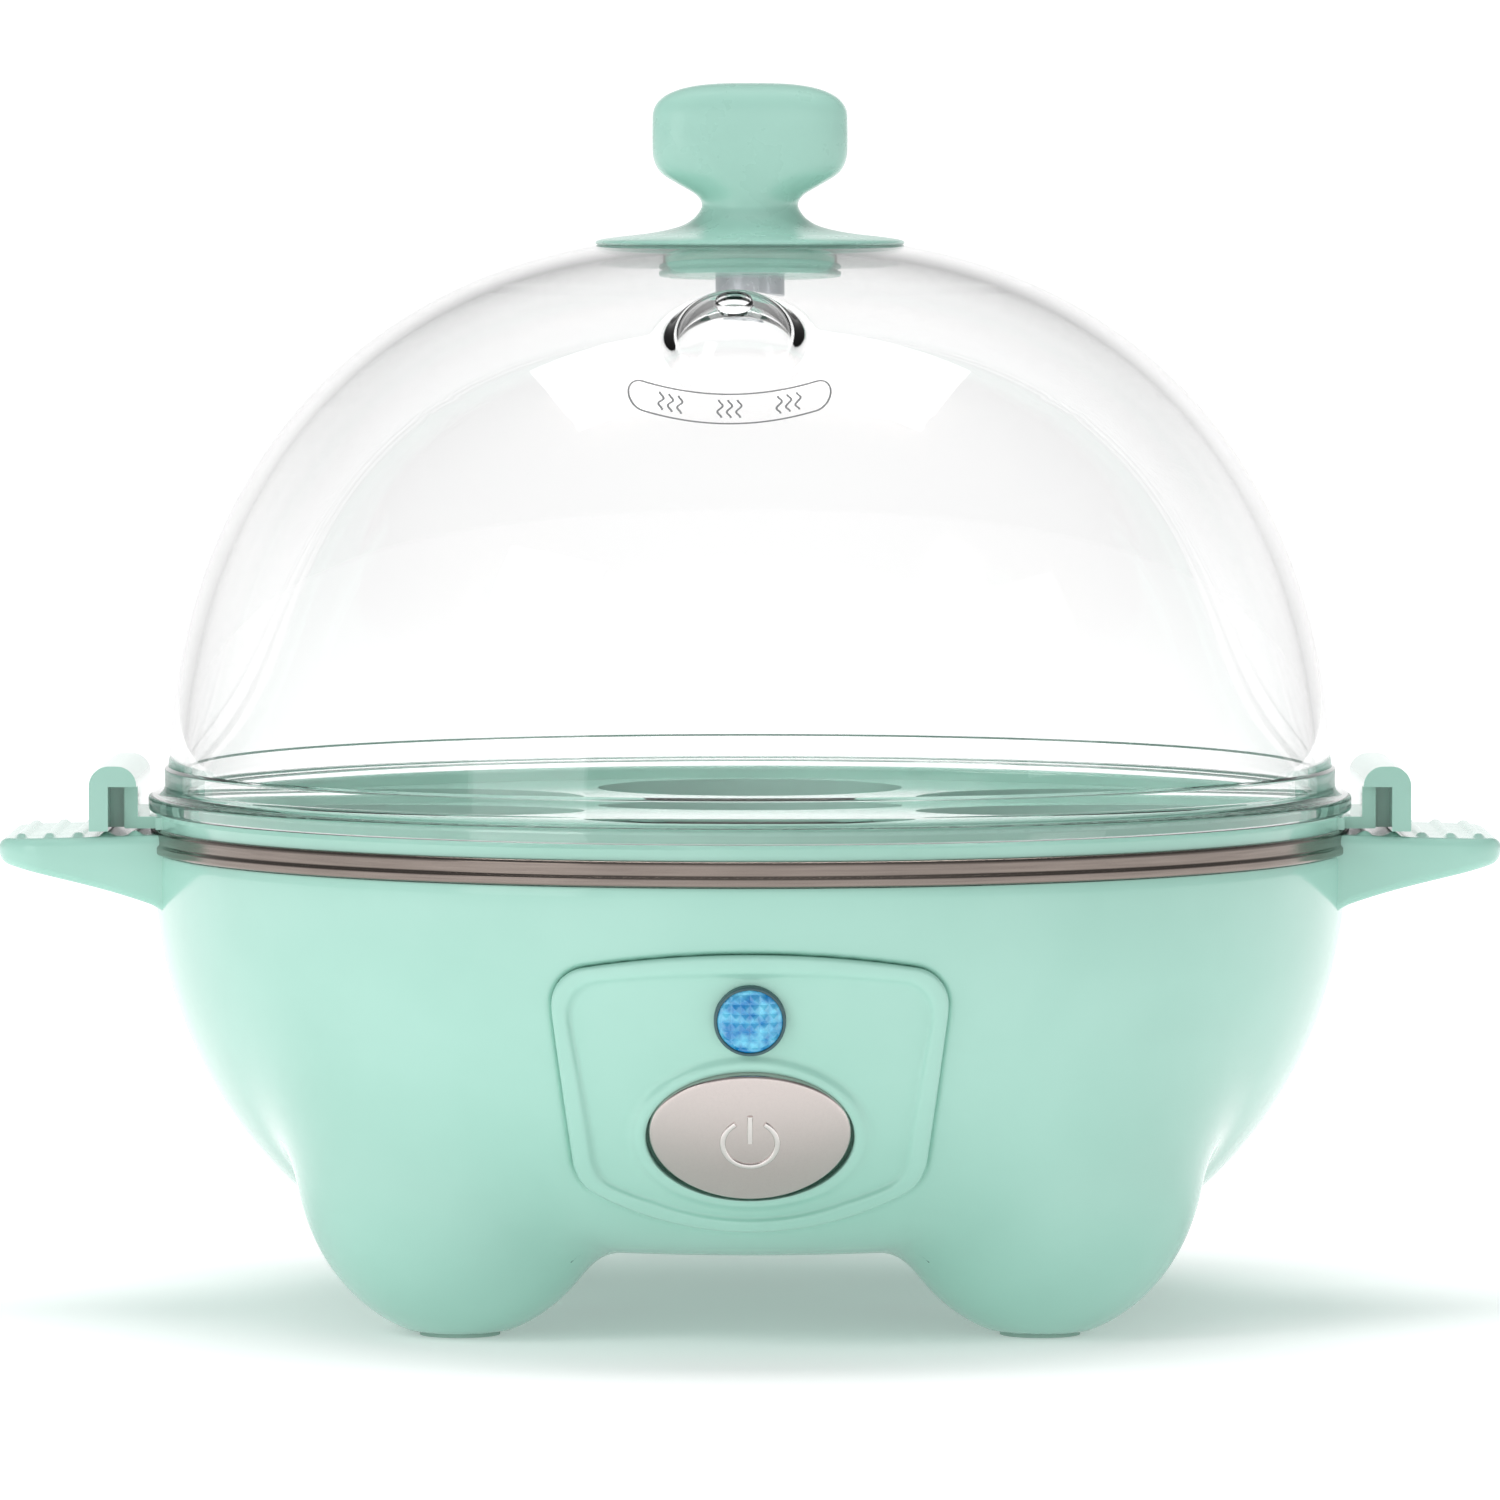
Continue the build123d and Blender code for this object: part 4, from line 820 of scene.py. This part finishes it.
        ends = [np.repeat(shape[i].mean(0)[None, None], count, 1) for i in (0, -1)]
        shape = np.concatenate([ends[0], shape, ends[1]])
        spin = np.array([[cos(turn), sin(turn), 0], [-sin(turn), cos(turn), 0], [0, 0, 1]])
        return Grid(shape @ spin, wrap_u=False)

    def build(self) -> None:
        """Builds the housing's pieces and dresses what stays as packed."""
        aqua = self.shop.get(AQUA)
        piece("housing_skin", [self.skin()], "base", aqua, ("base_housing",))
        piece("side_wings", [self.wing(0.0), self.wing(np.pi)], "base", aqua)
        for number in range(1, 5):
            self.shop.dress(f"foot_pad_{number}", PAD)
        self.shop.dress("bottom_cover", AQUA)


@dataclass
class ControlPanel:
    """The front panel with its raised border and lip, the lit lens and the sprung button."""

    shop: Workshop
    line: PanelLine = PanelLine()
    sink: float = 0.8
    lens_z: float = 42.1
    lens_r: float = 4.1
    button_z: float = 27.6
    half_w: float = 12.3
    half_h: float = 8.98
    gap: float = 0.3
    dome_r: float = 34.0
    proud: float = 1.4

    def bezel(self) -> Grid:
        """The panel as rings between the button's hole and the outline.

        Each ring is a fraction of the way along rays from the button's middle. Near the hole it is the hole's
        ellipse grown by a few tenths, near the outline it is the outline drawn in. Each ring has its own height,
        which makes the lip round the button, the sunk face and the border with their rounded edges.

        Returns:
            The grid: ray by ring, closed behind.
        """
        rays = 420
        angle = np.arange(rays) * TAU / rays
        lean = cos(asin((self.line.widest_z - self.button_z) / self.line.arc))
        half = np.array([self.half_w + self.gap, (self.half_h + self.gap) * lean])
        hole = 1 / np.hypot(np.cos(angle) / half[0], np.sin(angle) / half[1])
        edge = self.line.level(angle, self.button_z, 0.0)
        tight = np.minimum(1, (edge - hole) / 6.6)
        inner = [(0, -5), (0, -0.6), (0.05, -0.3), (0.18, -0.1), (0.4, 0.0), (0.7, 0.04), (1.0, 0.0), (1.3, -0.12),
                 (1.6, -0.34), (1.9, -0.58), (2.2, -0.73), (2.6, -0.8), (2.8, -0.8)]
        outer = [(3.4, -0.8), (3.1, -0.79), (2.8, -0.72), (2.55, -0.55), (2.35, -0.33), (2.1, -0.13), (1.8, -0.03),
                 (1.4, 0.0), (0.8, 0.0), (0.5, -0.02), (0.25, -0.1), (0.08, -0.28), (0, -0.6), (0, -3.6)]
        ways = [hole + d * tight for d, _ in inner]
        heights = [h for _, h in inner]
        steps = 30
        for k in range(1, steps):
            ways.append(ways[len(inner) - 1] + (edge - outer[0][0] * tight - ways[len(inner) - 1]) * k / steps)
            heights.append(-self.sink)
        ways += [edge - d * tight for d, _ in outer]
        heights += [h for _, h in outer]
        way = np.stack(ways + [edge + (hole - edge) * k for k in (0.3, 0.6, 0.9)], 1)
        height = np.array(heights + [-3.6, -3.6, -3.6])
        x = way * np.cos(angle)[:, None]
        z = self.button_z + way * np.sin(angle)[:, None]
        return Grid(np.stack([x, self.line.front(x, z, height), z], -1))

    def cap(self) -> Grid:
        """The button's cap: ellipses that grow to its edge, on a ball of radius dome_r, with a rounded rim and a
        straight side behind.

        Returns:
            The cap, closed at its middle and behind.
        """
        angle = np.arange(240) * TAU / 240
        share = np.concatenate([np.linspace(0, 0.955, 34), np.array([0.97, 0.982, 0.991, 0.997, 1.0, 1.0, 1.0, 0.0])])
        drop = np.concatenate([np.zeros(34), np.array([0.02, 0.07, 0.16, 0.3, 0.5, 1.0, 4.0, 4.0])])
        a = share * self.half_w * np.cos(angle)[:, None]
        b = share * self.half_h * np.sin(angle)[:, None]
        ball = self.proud - self.dome_r + np.sqrt(self.dome_r**2 - a**2 - b**2)
        out = ball - drop
        out[:, -2:] = -5.0
        return Grid(self.line.seat(self.button_z).place(np.stack([a, b, out], -1)), wrap_v=False)

    def mark(self) -> list[Grid]:
        """The raised on-off sign: an open ring and an upright stroke that follow the cap.

        Returns:
            The two strips. Each lies on the ball of radius dome_r, whose normal is the point over that radius.
        """
        seat = self.line.seat(self.button_z)
        open_half = radians(32)
        round_way = np.linspace(np.pi / 2 + open_half, np.pi / 2 + TAU - open_half, 60)
        ring = np.stack([3.3 * np.cos(round_way), 3.3 * np.sin(round_way)], -1)
        stroke = np.stack([np.zeros(14), np.linspace(0.2, 3.9, 14)], -1)
        made = []
        for way in (ring, stroke):
            root = np.sqrt(self.dome_r**2 - (way**2).sum(1))
            local = np.concatenate([way, (self.proud - self.dome_r + root)[:, None]], 1)
            normal = np.concatenate([way, root[:, None]], 1) / self.dome_r
            up = normal @ np.stack([seat.right, seat.up, seat.out])
            made.append(ribbon(seat.place(local), up, 0.72, 0.28))
        return made

    def lens(self) -> Grid:
        """The lens: a shallow ball cap whose front is pressed into small square pyramids.

        Its height is the cap's, plus 0.34 mm times one less the greater distance from a cell's middle on either
        way, for square cells of 1.15 mm.

        Returns:
            The lens, closed at its middle and behind.
        """
        angle = np.arange(216) * TAU / 216
        share = np.concatenate([np.linspace(0, 1, 60), np.array([1.0, 0.0])])
        a = share * (self.lens_r - 0.15) * np.cos(angle)[:, None]
        b = share * (self.lens_r - 0.15) * np.sin(angle)[:, None]
        cell = 1.15
        off = np.maximum(np.abs((a / cell) % 1 - 0.5), np.abs((b / cell) % 1 - 0.5)) * 2
        edge = np.clip((1 - share) / 0.12, 0, 1)
        out = 0.9 * (1 - share**2) - 0.1 + 0.34 * (1 - off) * edge
        out[:, -2:] = -3.5
        return Grid(self.line.seat(self.lens_z).place(np.stack([a, b, out], -1)), wrap_v=False)

    def dark_lens_ring(self) -> Grid:
        """The dark ring that the lens is pressed into.

        Returns:
            A small round-edged profile turned about the lens's axis.
        """
        profile = rounded([(self.lens_r - 0.12, -2.0, 0), (self.lens_r - 0.12, 0.12, 0.1),
                           (self.lens_r + 0.26, 0.12, 0.18), (self.lens_r + 0.26, -2.0, 0)], steps=4)
        turned = lathe(profile, 96)
        return Grid(self.line.seat(self.lens_z).place(turned))

    def build(self) -> None:
        """Builds the panel's pieces."""
        piece("panel_frame", [self.bezel()], "base", self.shop.get(AQUA), ("panel_bezel",))
        silver = self.shop.get(SATIN_SILVER)
        piece("button_cap", [self.cap()], "button", silver, ("power_button",))
        # The sign's paler colour is a painted highlight.
        piece("button_mark", self.mark(), "button", self.shop.get(SIGN_SILVER_PAINTED_HIGHLIGHT))
        # The pale blue patches in the lens's colour are painted glints.
        piece("faceted_lens", [self.lens()], "base", self.shop.get(BLUE_WITH_PAINTED_GLINTS), ("indicator_lens",), crease=20)
        piece("dark_lens_ring", [self.dark_lens_ring()], "base", self.shop.get(DARK_TEAL_RING))


@dataclass
class HeatingPlate:
    """The pressed steel plate whose bright band rolls over the bowl's mouth."""

    shop: Workshop
    band_r: float = 76.3
    band_top: float = 61.5
    bead_r: float = 76.6
    mouth_z: float = 58.3
    wall_r: float = 72.3
    floor_r: float = 69.0
    floor_z: float = 50.0
    sheet: float = 0.8

    def shell(self) -> Grid:
        """The plate as one closed profile, turned about the upright axis.

        Returns:
            Floor, leaning wall, rolled top, band and bead, and back underneath a sheet's thickness away.
        """
        top = self.band_top
        profile = rounded([
            (0, self.floor_z, 0), (self.floor_r, self.floor_z, 2.5), (self.wall_r, top, 0.9), (self.band_r, top, 0.55),
            (self.band_r, self.mouth_z + 1.35, 0.3), (self.bead_r, self.mouth_z + 1.05, 0.3),
            (self.bead_r, self.mouth_z + 0.1, 0.35), (self.band_r - 0.5, self.mouth_z, 0.25),
            (self.band_r - 0.8, self.mouth_z + 0.5, 0.2), (self.band_r - 0.8, top - 0.8, 0.3),
            (self.wall_r + 0.7, top - 0.8, 0.5), (self.floor_r + 0.7, self.floor_z - 0.8, 2.5),
            (0, self.floor_z - 0.8, 0)], closed=False, steps=7, run=4)
        return Grid(lathe(profile, 288), wrap_v=False)

    def build(self) -> None:
        """Builds the plate."""
        piece("steel_plate", [self.shell()], "base", self.shop.get(STEEL), ("heating_plate",))


@dataclass
class Tray:
    """The lift-out egg tray."""

    shop: Workshop

    def build(self) -> None:
        """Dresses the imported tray."""
        self.shop.dress("egg_tray", AQUA_TRAY)


# ---------------------------------------------------------------- lid
@dataclass
class Lid:
    """The clear dome with its steam vent, print, paddle knob, seal, collar and screw."""

    shop: Workshop
    half: float = 74.4
    rise: float = 77.2
    power: float = 2.333
    middle_z: float = 59.3
    wall: float = 2.0
    foot_z: float = 63.4
    flange_r: float = 76.6
    flange_top: float = 65.4
    turn: float = 2.4
    vent_r: float = 9.6
    vent_reach: float = 46.5
    vent_sink: float = 4.8
    vent_wall: float = 1.7
    vent_hole: float = 2.2
    skirt_r: float = 19.7

    def height(self, radius: np.ndarray | float, inset: float = 0.0) -> np.ndarray:
        """Height of the dome at a radius: one less the radius's share to the power, to one over the power."""
        share = np.clip(np.asarray(radius) / (self.half - inset), 0, 1)
        return self.middle_z + (self.rise - inset) * (1 - share**self.power) ** (1 / self.power)

    def span(self, z: np.ndarray | float, inset: float = 0.0) -> np.ndarray:
        """Radius of the dome at a height, the other way round."""
        share = np.clip((np.asarray(z) - self.middle_z) / (self.rise - inset), 0, 1)
        return (self.half - inset) * (1 - share**self.power) ** (1 / self.power)

    def normal(self, radius: np.ndarray, z: np.ndarray) -> np.ndarray:
        """Outward direction of the dome.

        Args:
            radius: distances from the axis.
            z: heights.

        Returns:
            (out, up), one long: each share to the power less one, over its half axis.
        """
        way = np.stack([(radius / self.half) ** (self.power - 1) / self.half,
                        ((z - self.middle_z) / self.rise) ** (self.power - 1) / self.rise], -1)
        return way / np.linalg.norm(way, axis=-1, keepdims=True)

    def spin(self, points: np.ndarray) -> np.ndarray:
        """Turns points clockwise about the axis by the lid's own turn."""
        a = radians(self.turn)
        return points @ np.array([[cos(a), -sin(a), 0], [sin(a), cos(a), 0], [0, 0, 1]])

    def vent(self) -> tuple[np.ndarray, np.ndarray]:
        """Where the vent's bubble lies, before the lid is turned.

        Returns:
            The bubble's middle, and the direction that it bulges in.
        """
        z = float(self.height(self.vent_reach))
        way = self.normal(np.array(self.vent_reach), np.array(z))
        out = np.array([0, -way[0], way[1]])
        return np.array([0, -self.vent_reach, z]) - self.vent_sink * out, out

    def arc_rows(self, inset: float, low_z: float) -> np.ndarray:
        """Rows of the dome from low_z to its top, close together near the vent.

        Points lie at even lengths along the superellipse, 1.9 mm apart, and 0.4 mm near the vent.

        Args:
            inset: how far the surface is drawn in.
            low_z: height of the first row.

        Returns:
            (radius, height) of each row.
        """
        first = np.arcsin(((low_z - self.middle_z) / (self.rise - inset)) ** (self.power / 2))
        a = np.linspace(first, np.pi / 2, 6000)
        line = np.stack([(self.half - inset) * np.clip(np.cos(a), 0, 1) ** (2 / self.power),
                         self.middle_z + (self.rise - inset) * np.sin(a) ** (2 / self.power)], -1)
        length = np.concatenate([[0], np.cumsum(np.hypot(*np.diff(line, axis=0).T))])
        vent = np.interp(-self.vent_reach, -line[:, 0], length)
        marks = np.concatenate([np.linspace(0, vent - 12, 38), np.linspace(vent - 12, vent + 12, 62)[1:],
                                np.linspace(vent + 12, length[-1], 24)[1:]])
        return np.stack([np.interp(marks, length, line[:, k]) for k in (0, 1)], -1)

    def face(self, inset: float, ball: float, low_z: float, angle: np.ndarray) -> np.ndarray:
        """One face of the dome with the bubble in it.

        Each point walks in along the dome's normal to where the lesser of its height over the dome and its
        distance to the ball is nil, with the crease between them filled in.

        Args:
            inset: how far the face is drawn in.
            ball: the bubble's radius on that face.
            low_z: height of the first row.
            angle: the angles.

        Returns:
            Points (angle, row, 3), from the foot to the top.
        """
        rows = self.arc_rows(inset, low_z)
        lean = self.normal(rows[:, 0], rows[:, 1])
        start, way = lathe(rows, angles=angle), lathe(lean, angles=angle)
        centre, _ = self.vent()

        out = np.full(start.shape[:2], 8.0)
        for _ in range(60):
            gap = np.linalg.norm(start + out[..., None] * way - centre, axis=-1) - ball
            out -= blend_least(out, gap, 1.6)
        return start + out[..., None] * way

    def dome(self) -> Grid:
        """The dome's outside, foot, flange and inside as one closed surface.

        Returns:
            The surface, with a pole on each face.
        """
        fine = radians(15)
        angle = np.concatenate([np.linspace(-fine, fine, 64), np.linspace(fine, TAU - fine, 206)[1:-1]]) - np.pi / 2
        step_z, top = 68.7, self.flange_top
        wide = float(self.span(step_z)) + 0.45
        outer = self.face(0.0, self.vent_r, step_z + 0.35, angle)[:, ::-1]
        foot = rounded([
            (self.span(step_z + 0.3), step_z + 0.3, 0), (wide - 0.05, step_z, 0.25), (wide, top, 1.1),
            (self.flange_r, top, 0.55), (self.flange_r, self.foot_z, 0.45),
            (self.span(self.foot_z, self.wall) + 0.05, self.foot_z, 0.3),
            (self.span(self.foot_z + 0.8, self.wall), self.foot_z + 0.8, 0)], closed=False, steps=6, run=2)
        inner = self.face(self.wall, self.vent_r - self.vent_wall, self.foot_z + 1.0, angle)
        return Grid(self.spin(np.concatenate([outer, lathe(foot, angles=angle), inner], 1)), wrap_v=False)

    def pierce(self, dome: bpy.types.Object) -> None:
        """Cuts the round steam hole through the bubble, a little behind its middle.

        The cutter is a turned cylinder along the bubble's direction, which is dropped after the cut.

        Args:
            dome: the dome.
        """
        centre, out = self.vent()
        up = np.array([0, out[2], -out[1]])
        right = np.cross(up, out)
        seat = Seat(centre, right, up, out)
        hole = lathe(np.array([[0, 6.0], [self.vent_hole, 6.0], [self.vent_hole, 12.0], [0, 12.0]]), 48)
        hole = seat.place(hole + np.array([0, 1.6, 0]))
        cutter = piece("vent_cutter", [Grid(self.spin(hole), wrap_v=False)], "lid", self.shop.get(CLEAR))
        cut = dome.modifiers.new("vent", "BOOLEAN")
        cut.object, cut.operation, cut.solver = cutter, "DIFFERENCE", "EXACT"
        shape = bpy.data.meshes.new_from_object(dome.evaluated_get(bpy.context.evaluated_depsgraph_get()))
        dome.modifiers.clear()
        dome.data = shape
        dome.data.set_sharp_from_angle(angle=radians(40))
        bpy.data.objects.remove(cutter)

    def on_dome(self, x: np.ndarray, z: np.ndarray) -> tuple[np.ndarray, np.ndarray]:
        """Places on the dome's front.

        Args:
            x: distances to the right.
            z: heights.

        Returns:
            Points and their normals.
        """
        radius = self.span(z)
        y = -np.sqrt(radius**2 - x**2)
        lean = self.normal(radius, z)
        normal = np.stack([x / radius * lean[..., 0], y / radius * lean[..., 0], lean[..., 1]], -1)
        return np.stack([x, y, z], -1), normal

    def print_lines(self) -> list[Grid]:
        """The printed steam sign: a long rounded frame that follows a smile, with wavy strokes in it.

        The frame is a pill whose middle line rises by 2.1 mm at its ends. A stroke is a sine wave of one and a
        half periods.

        Returns:
            The frame and nine strokes, in three groups.
        """
        half, tall, z0, x0 = 10.6, 1.75, 115.4, -2.5
        flat = np.linspace(-half, half, 60)
        cap = np.linspace(-np.pi / 2, np.pi / 2, 24)
        x = np.concatenate([flat, half + tall * np.cos(cap), flat[::-1], -half - tall * np.cos(cap)])
        z = np.concatenate([np.full(60, -tall), tall * np.sin(cap), np.full(60, tall), -tall * np.sin(cap)])
        keep = np.concatenate([[True], np.hypot(np.diff(x), np.diff(z)) > 1e-6])
        keep[-1] = False
        x, z = x[keep], z[keep]
        lines = []
        smile = 2.1 / (half + tall) ** 2
        points, up = self.on_dome(x + x0, z0 + z + smile * x**2)
        lines.append(ribbon(points + 0.02 * up, up, 0.24, 0.03, closed=True))
        for group in (-7.2, 0.0, 7.2):  # three groups of three strokes
            for k in (-1, 0, 1):
                t = np.linspace(-1, 1, 26)
                wx = group + 1.15 * k + 0.28 * np.sin(t * 1.5 * np.pi) + 0.12 * t
                wz = 1.05 * t
                points, up = self.on_dome(wx + x0, z0 + wz + smile * wx**2)
                lines.append(ribbon(points + 0.02 * up, up, 0.26, 0.03))
        return lines

    def knob(self) -> Grid:
        """The knob from under its skirt to its crown.

        A smooth line through marks gives the half width, the half depth, the height and the section's power: two
        is round, as at the neck, and more is squarer, as on the paddle. The underside lies on the dome.

        Returns:
            The knob, closed at its crown and under its middle.
        """
        under = np.linspace(0, self.skirt_r - 0.25, 12)
        low = np.stack([under, under, self.height(under) + 0.04, np.full(12, 2.0)], -1)
        lip = float(self.height(self.skirt_r)) + 0.05
        marks = [(self.skirt_r, self.skirt_r, lip + 0.25, 2), (self.skirt_r - 0.5, self.skirt_r - 0.5, lip + 0.62, 2),
                 (17.0, 17.0, lip + 0.98, 2), (12.6, 12.6, lip + 1.5, 2), (9.2, 9.0, lip + 2.25, 2.0),
                 (7.4, 7.2, 138.2, 2.0), (6.35, 6.25, 139.4, 2.0), (6.15, 6.1, 140.4, 2.05), (7.0, 6.1, 141.5, 2.15),
                 (9.2, 6.15, 142.8, 2.4), (11.3, 6.2, 144.2, 2.8), (12.25, 6.25, 146.0, 3.1),
                 (12.4, 6.3, 148.4, 3.3), (12.38, 6.3, 151.0, 3.3)]
        side = smooth_line(marks, 150)
        a = np.linspace(0, np.pi / 2, 30)[1:]
        crown = np.stack([12.38 * np.cos(a) ** (2 / 2.9), 6.3 * np.cos(a) ** (2 / 2.9),
                          151.0 + 4.58 * np.sin(a) ** (2 / 2.5), np.full(29, 3.3)], -1)
        rows = np.concatenate([low, side, crown])
        angle = np.arange(160) * TAU / 160
        c, s = np.cos(angle)[:, None], np.sin(angle)[:, None]
        power = 2 / rows[:, 3]
        x = rows[:, 0] * np.sign(c) * np.abs(c) ** power
        y = rows[:, 1] * np.sign(s) * np.abs(s) ** power
        return Grid(np.stack([x, y, np.broadcast_to(rows[:, 2], x.shape)], -1), wrap_v=False)

    def build(self) -> None:
        """Builds the lid's pieces and dresses what stays as packed."""
        dome = piece("clear_dome", [self.dome()], "lid", self.shop.get(CLEAR), ("lid_dome",))
        self.pierce(dome)
        piece("steam_print", self.print_lines(), "lid", self.shop.get(INK))
        piece("paddle_knob", [self.knob()], "lid", self.shop.get(AQUA_KNOB), ("lid_knob",))
        low, high = low_corner("knob_collar")[2], high_corner("knob_collar")[2]
        radius, mid = high_corner("knob_collar")[0], (low + high) / 2
        profile = rounded([(1.8, low, 0), (radius, low, 0.3), (radius, mid - 0.2, 0.1), (radius - 0.4, mid - 0.2, 0.05),
                           (radius - 0.4, mid + 0.2, 0.05), (radius, mid + 0.2, 0.1), (radius, high, 0.3),
                           (1.8, high, 0)], steps=4)
        piece("grooved_collar", [Grid(lathe(profile, 128))], "lid", self.shop.get(AQUA_KNOB),
              ("knob_collar",))
        self.shop.dress("knob_seal", SILICONE)
        self.shop.dress("knob_screw", ZINC)


@dataclass
class InnerWorks:
    """What lies inside the base: the heater, its guards, the switch, the lamp, the leads and the screws."""

    shop: Workshop

    def build(self) -> None:
        """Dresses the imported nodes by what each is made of."""
        worked = {
            "rim_gasket": SILICONE, "heat_spreader": ALUMINIUM, "heating_element": SHEATH, "thermostat": WHITE,
            "thermostat_clip": ZINC, "thermal_fuse": WHITE, "fuse_clip": ZINC, "cover_screws": ZINC,
            "panel_screws": ZINC, "button_spring": ZINC, "switch_plunger": WHITE, "switch_body": BLACK,
            "switch_bracket": WHITE, "indicator_lamp": EPOXY, "indicator_board": BOARD, "cord_gland": BLACK,
            "gland_nut": BLACK, "terminal_block": WHITE,
        }
        for node, finish in worked.items():
            self.shop.dress(node, finish)
        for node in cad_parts:
            if node.startswith("lead_"):
                self.shop.dress(node, SLEEVE)
            elif node.startswith("plate_post_"):
                self.shop.dress(node, ZINC)
            elif node.startswith("element_terminal_"):
                self.shop.dress(node, BRASS)


# ---------------------------------------------------------------- studio
@dataclass
class Studio:
    """Pale floor, soft lights, white surroundings and the camera."""

    eye: tuple[float, float, float] = (0.0, -1.300, 0.1429)
    aim: tuple[float, float, float] = (0.0, 0.0, 0.0707)
    lens: float = 245.08

    def camera(self) -> None:
        """A long lens in front, a little above the lid's shoulder."""
        data = bpy.data.cameras.new("camera")
        data.lens, data.sensor_width, data.clip_start, data.clip_end = self.lens, 36.0, 0.05, 20.0
        thing = bpy.data.objects.new("camera", data)
        bpy.context.scene.collection.objects.link(thing)
        rise = self.aim[2] - self.eye[2]
        run = self.aim[1] - self.eye[1]
        thing.location = self.eye
        thing.rotation_euler = (np.pi / 2 + np.arctan2(rise, run), 0, 0)
        bpy.context.scene.camera = thing

    def floor(self) -> None:
        """A wide flat floor, white and slightly lit by itself so that it runs into the surroundings; its glow is
        dimmest close to the cooker, a painted shade round it, and grows outwards.
        """
        made = bpy.data.materials.new("white_card_floor")
        made.use_nodes = True
        tree = made.node_tree
        tree.nodes.clear()
        place = add_node(tree, "ShaderNodeTexCoord").outputs["Object"]
        fibre = add_node(tree, "ShaderNodeTexNoise", None, {"Vector": place, "Scale": 700.0, "Detail": 2.0})
        colour = add_node(tree, "ShaderNodeMix", {"data_type": "RGBA"},
                          {0: fibre.outputs["Fac"], 6: linear("#F2F2F2"), 7: linear("#EEEEEE")})
        away = add_node(tree, "ShaderNodeVectorMath", {"operation": "LENGTH"}, {0: place})
        # Painted shade: the glow is 0.22 within 3 cm of the middle and rises to 0.64 at 17 cm, and further still far
        # out, so the floor is darker round the cooker.
        glow = add_node(tree, "ShaderNodeMapRange", {"interpolation_type": "SMOOTHSTEP"},
                        {0: away.outputs["Value"], 1: 0.03, 2: 0.17, 3: 0.22, 4: 0.64})
        far = add_node(tree, "ShaderNodeMapRange", None,
                       {0: away.outputs["Value"], 1: 0.2, 2: 0.9, 3: 0.0, 4: 0.24})
        both = add_node(tree, "ShaderNodeMath", {"operation": "ADD"}, {0: glow.outputs[0], 1: far.outputs[0]})
        shader = add_node(tree, "ShaderNodeBsdfPrincipled", None,
                          {"Base Color": colour.outputs[2], "Roughness": 0.9, "Specular IOR Level": 0.0,
                           "Emission Color": (1, 1, 1, 1), "Emission Strength": both.outputs[0]})
        add_node(tree, "ShaderNodeOutputMaterial", None, {"Surface": shader.outputs[0]})
        mesh = bpy.data.meshes.new("floor")
        side = 6.0
        mesh.from_pydata([(-side, -side, 0), (side, -side, 0), (side, side, 0), (-side, side, 0)], [], [(0, 1, 2, 3)])
        mesh.materials.append(made)
        thing = bpy.data.objects.new("floor", mesh)
        bpy.context.scene.collection.objects.link(thing)

    def surroundings(self) -> None:
        """White room that is a little darker to the sides, so that clear edges show."""
        world = bpy.data.worlds.new("studio")
        bpy.context.scene.world = world
        world.use_nodes = True
        tree = world.node_tree
        tree.nodes.clear()
        way = add_node(tree, "ShaderNodeTexCoord").outputs["Generated"]
        split = add_node(tree, "ShaderNodeSeparateXYZ", None, {0: way})
        side = add_node(tree, "ShaderNodeMath", {"operation": "ABSOLUTE"}, {0: split.outputs[0]})
        wide = add_node(tree, "ShaderNodeMapRange", {"interpolation_type": "SMOOTHSTEP"},
                        {0: side.outputs[0], 1: 0.2, 2: 0.7, 3: 1.0, 4: 0.5})
        high = add_node(tree, "ShaderNodeMapRange", {"interpolation_type": "SMOOTHSTEP"},
                        {0: split.outputs[2], 1: 0.14, 2: 0.5, 3: 1.12, 4: 0.32})
        shade = add_node(tree, "ShaderNodeMath", {"operation": "MULTIPLY"}, {0: wide.outputs[0], 1: high.outputs[0]})
        light = add_node(tree, "ShaderNodeBackground", None, {"Color": (1, 1, 1, 1), "Strength": shade.outputs[0]})
        add_node(tree, "ShaderNodeOutputWorld", None, {"Surface": light.outputs[0]})

    def lamp(self, name: str, place: tuple[float, float, float], size: tuple[float, float], watts: float,
             mirrored: bool) -> None:
        """A soft box that faces the cooker.

        Args:
            name: its name.
            place: where it hangs.
            size: its width and height.
            watts: its power.
            mirrored: whether glossy surfaces show it.
        """
        data = bpy.data.lights.new(name, "AREA")
        data.shape, data.size, data.size_y, data.energy = "RECTANGLE", size[0], size[1], watts
        thing = bpy.data.objects.new(name, data)
        bpy.context.scene.collection.objects.link(thing)
        thing.location = place
        thing.visible_glossy = mirrored
        aim = np.array([0, 0, 0.07]) - np.array(place)
        flat = float(np.hypot(aim[0], aim[1]))
        thing.rotation_euler = (np.pi / 2 + np.arctan2(aim[2], flat), 0, np.arctan2(-aim[0], aim[1]))

    def build(self) -> None:
        """Sets up the whole studio."""
        self.camera()
        self.floor()
        self.surroundings()
        self.lamp("key_left", (-0.9, -0.8, 0.8), (0.5, 0.5), 3.8, False)
        self.lamp("fill_right", (1.0, -0.5, 0.45), (0.35, 0.6), 0.9, False)
        self.lamp("top", (0.0, 0.15, 1.1), (1.0, 0.5), 6.2, False)
        self.lamp("low_left", (-0.55, -0.6, 0.22), (0.34, 0.3), 0.42, True)
        bpy.context.scene.view_settings.view_transform = "Standard"


def main() -> None:
    """Builds the studio and each part of the cooker in turn."""
    logging.basicConfig(level=logging.INFO, format="%(name)s %(message)s")
    Studio().build()
    shop = Workshop()
    for part in (Housing(shop), HeatingPlate(shop), ControlPanel(shop), InnerWorks(shop), Tray(shop), Lid(shop)):
        part.build()
        LOG.info("%s done", type(part).__name__)


if __name__ == "__main__":
    main()
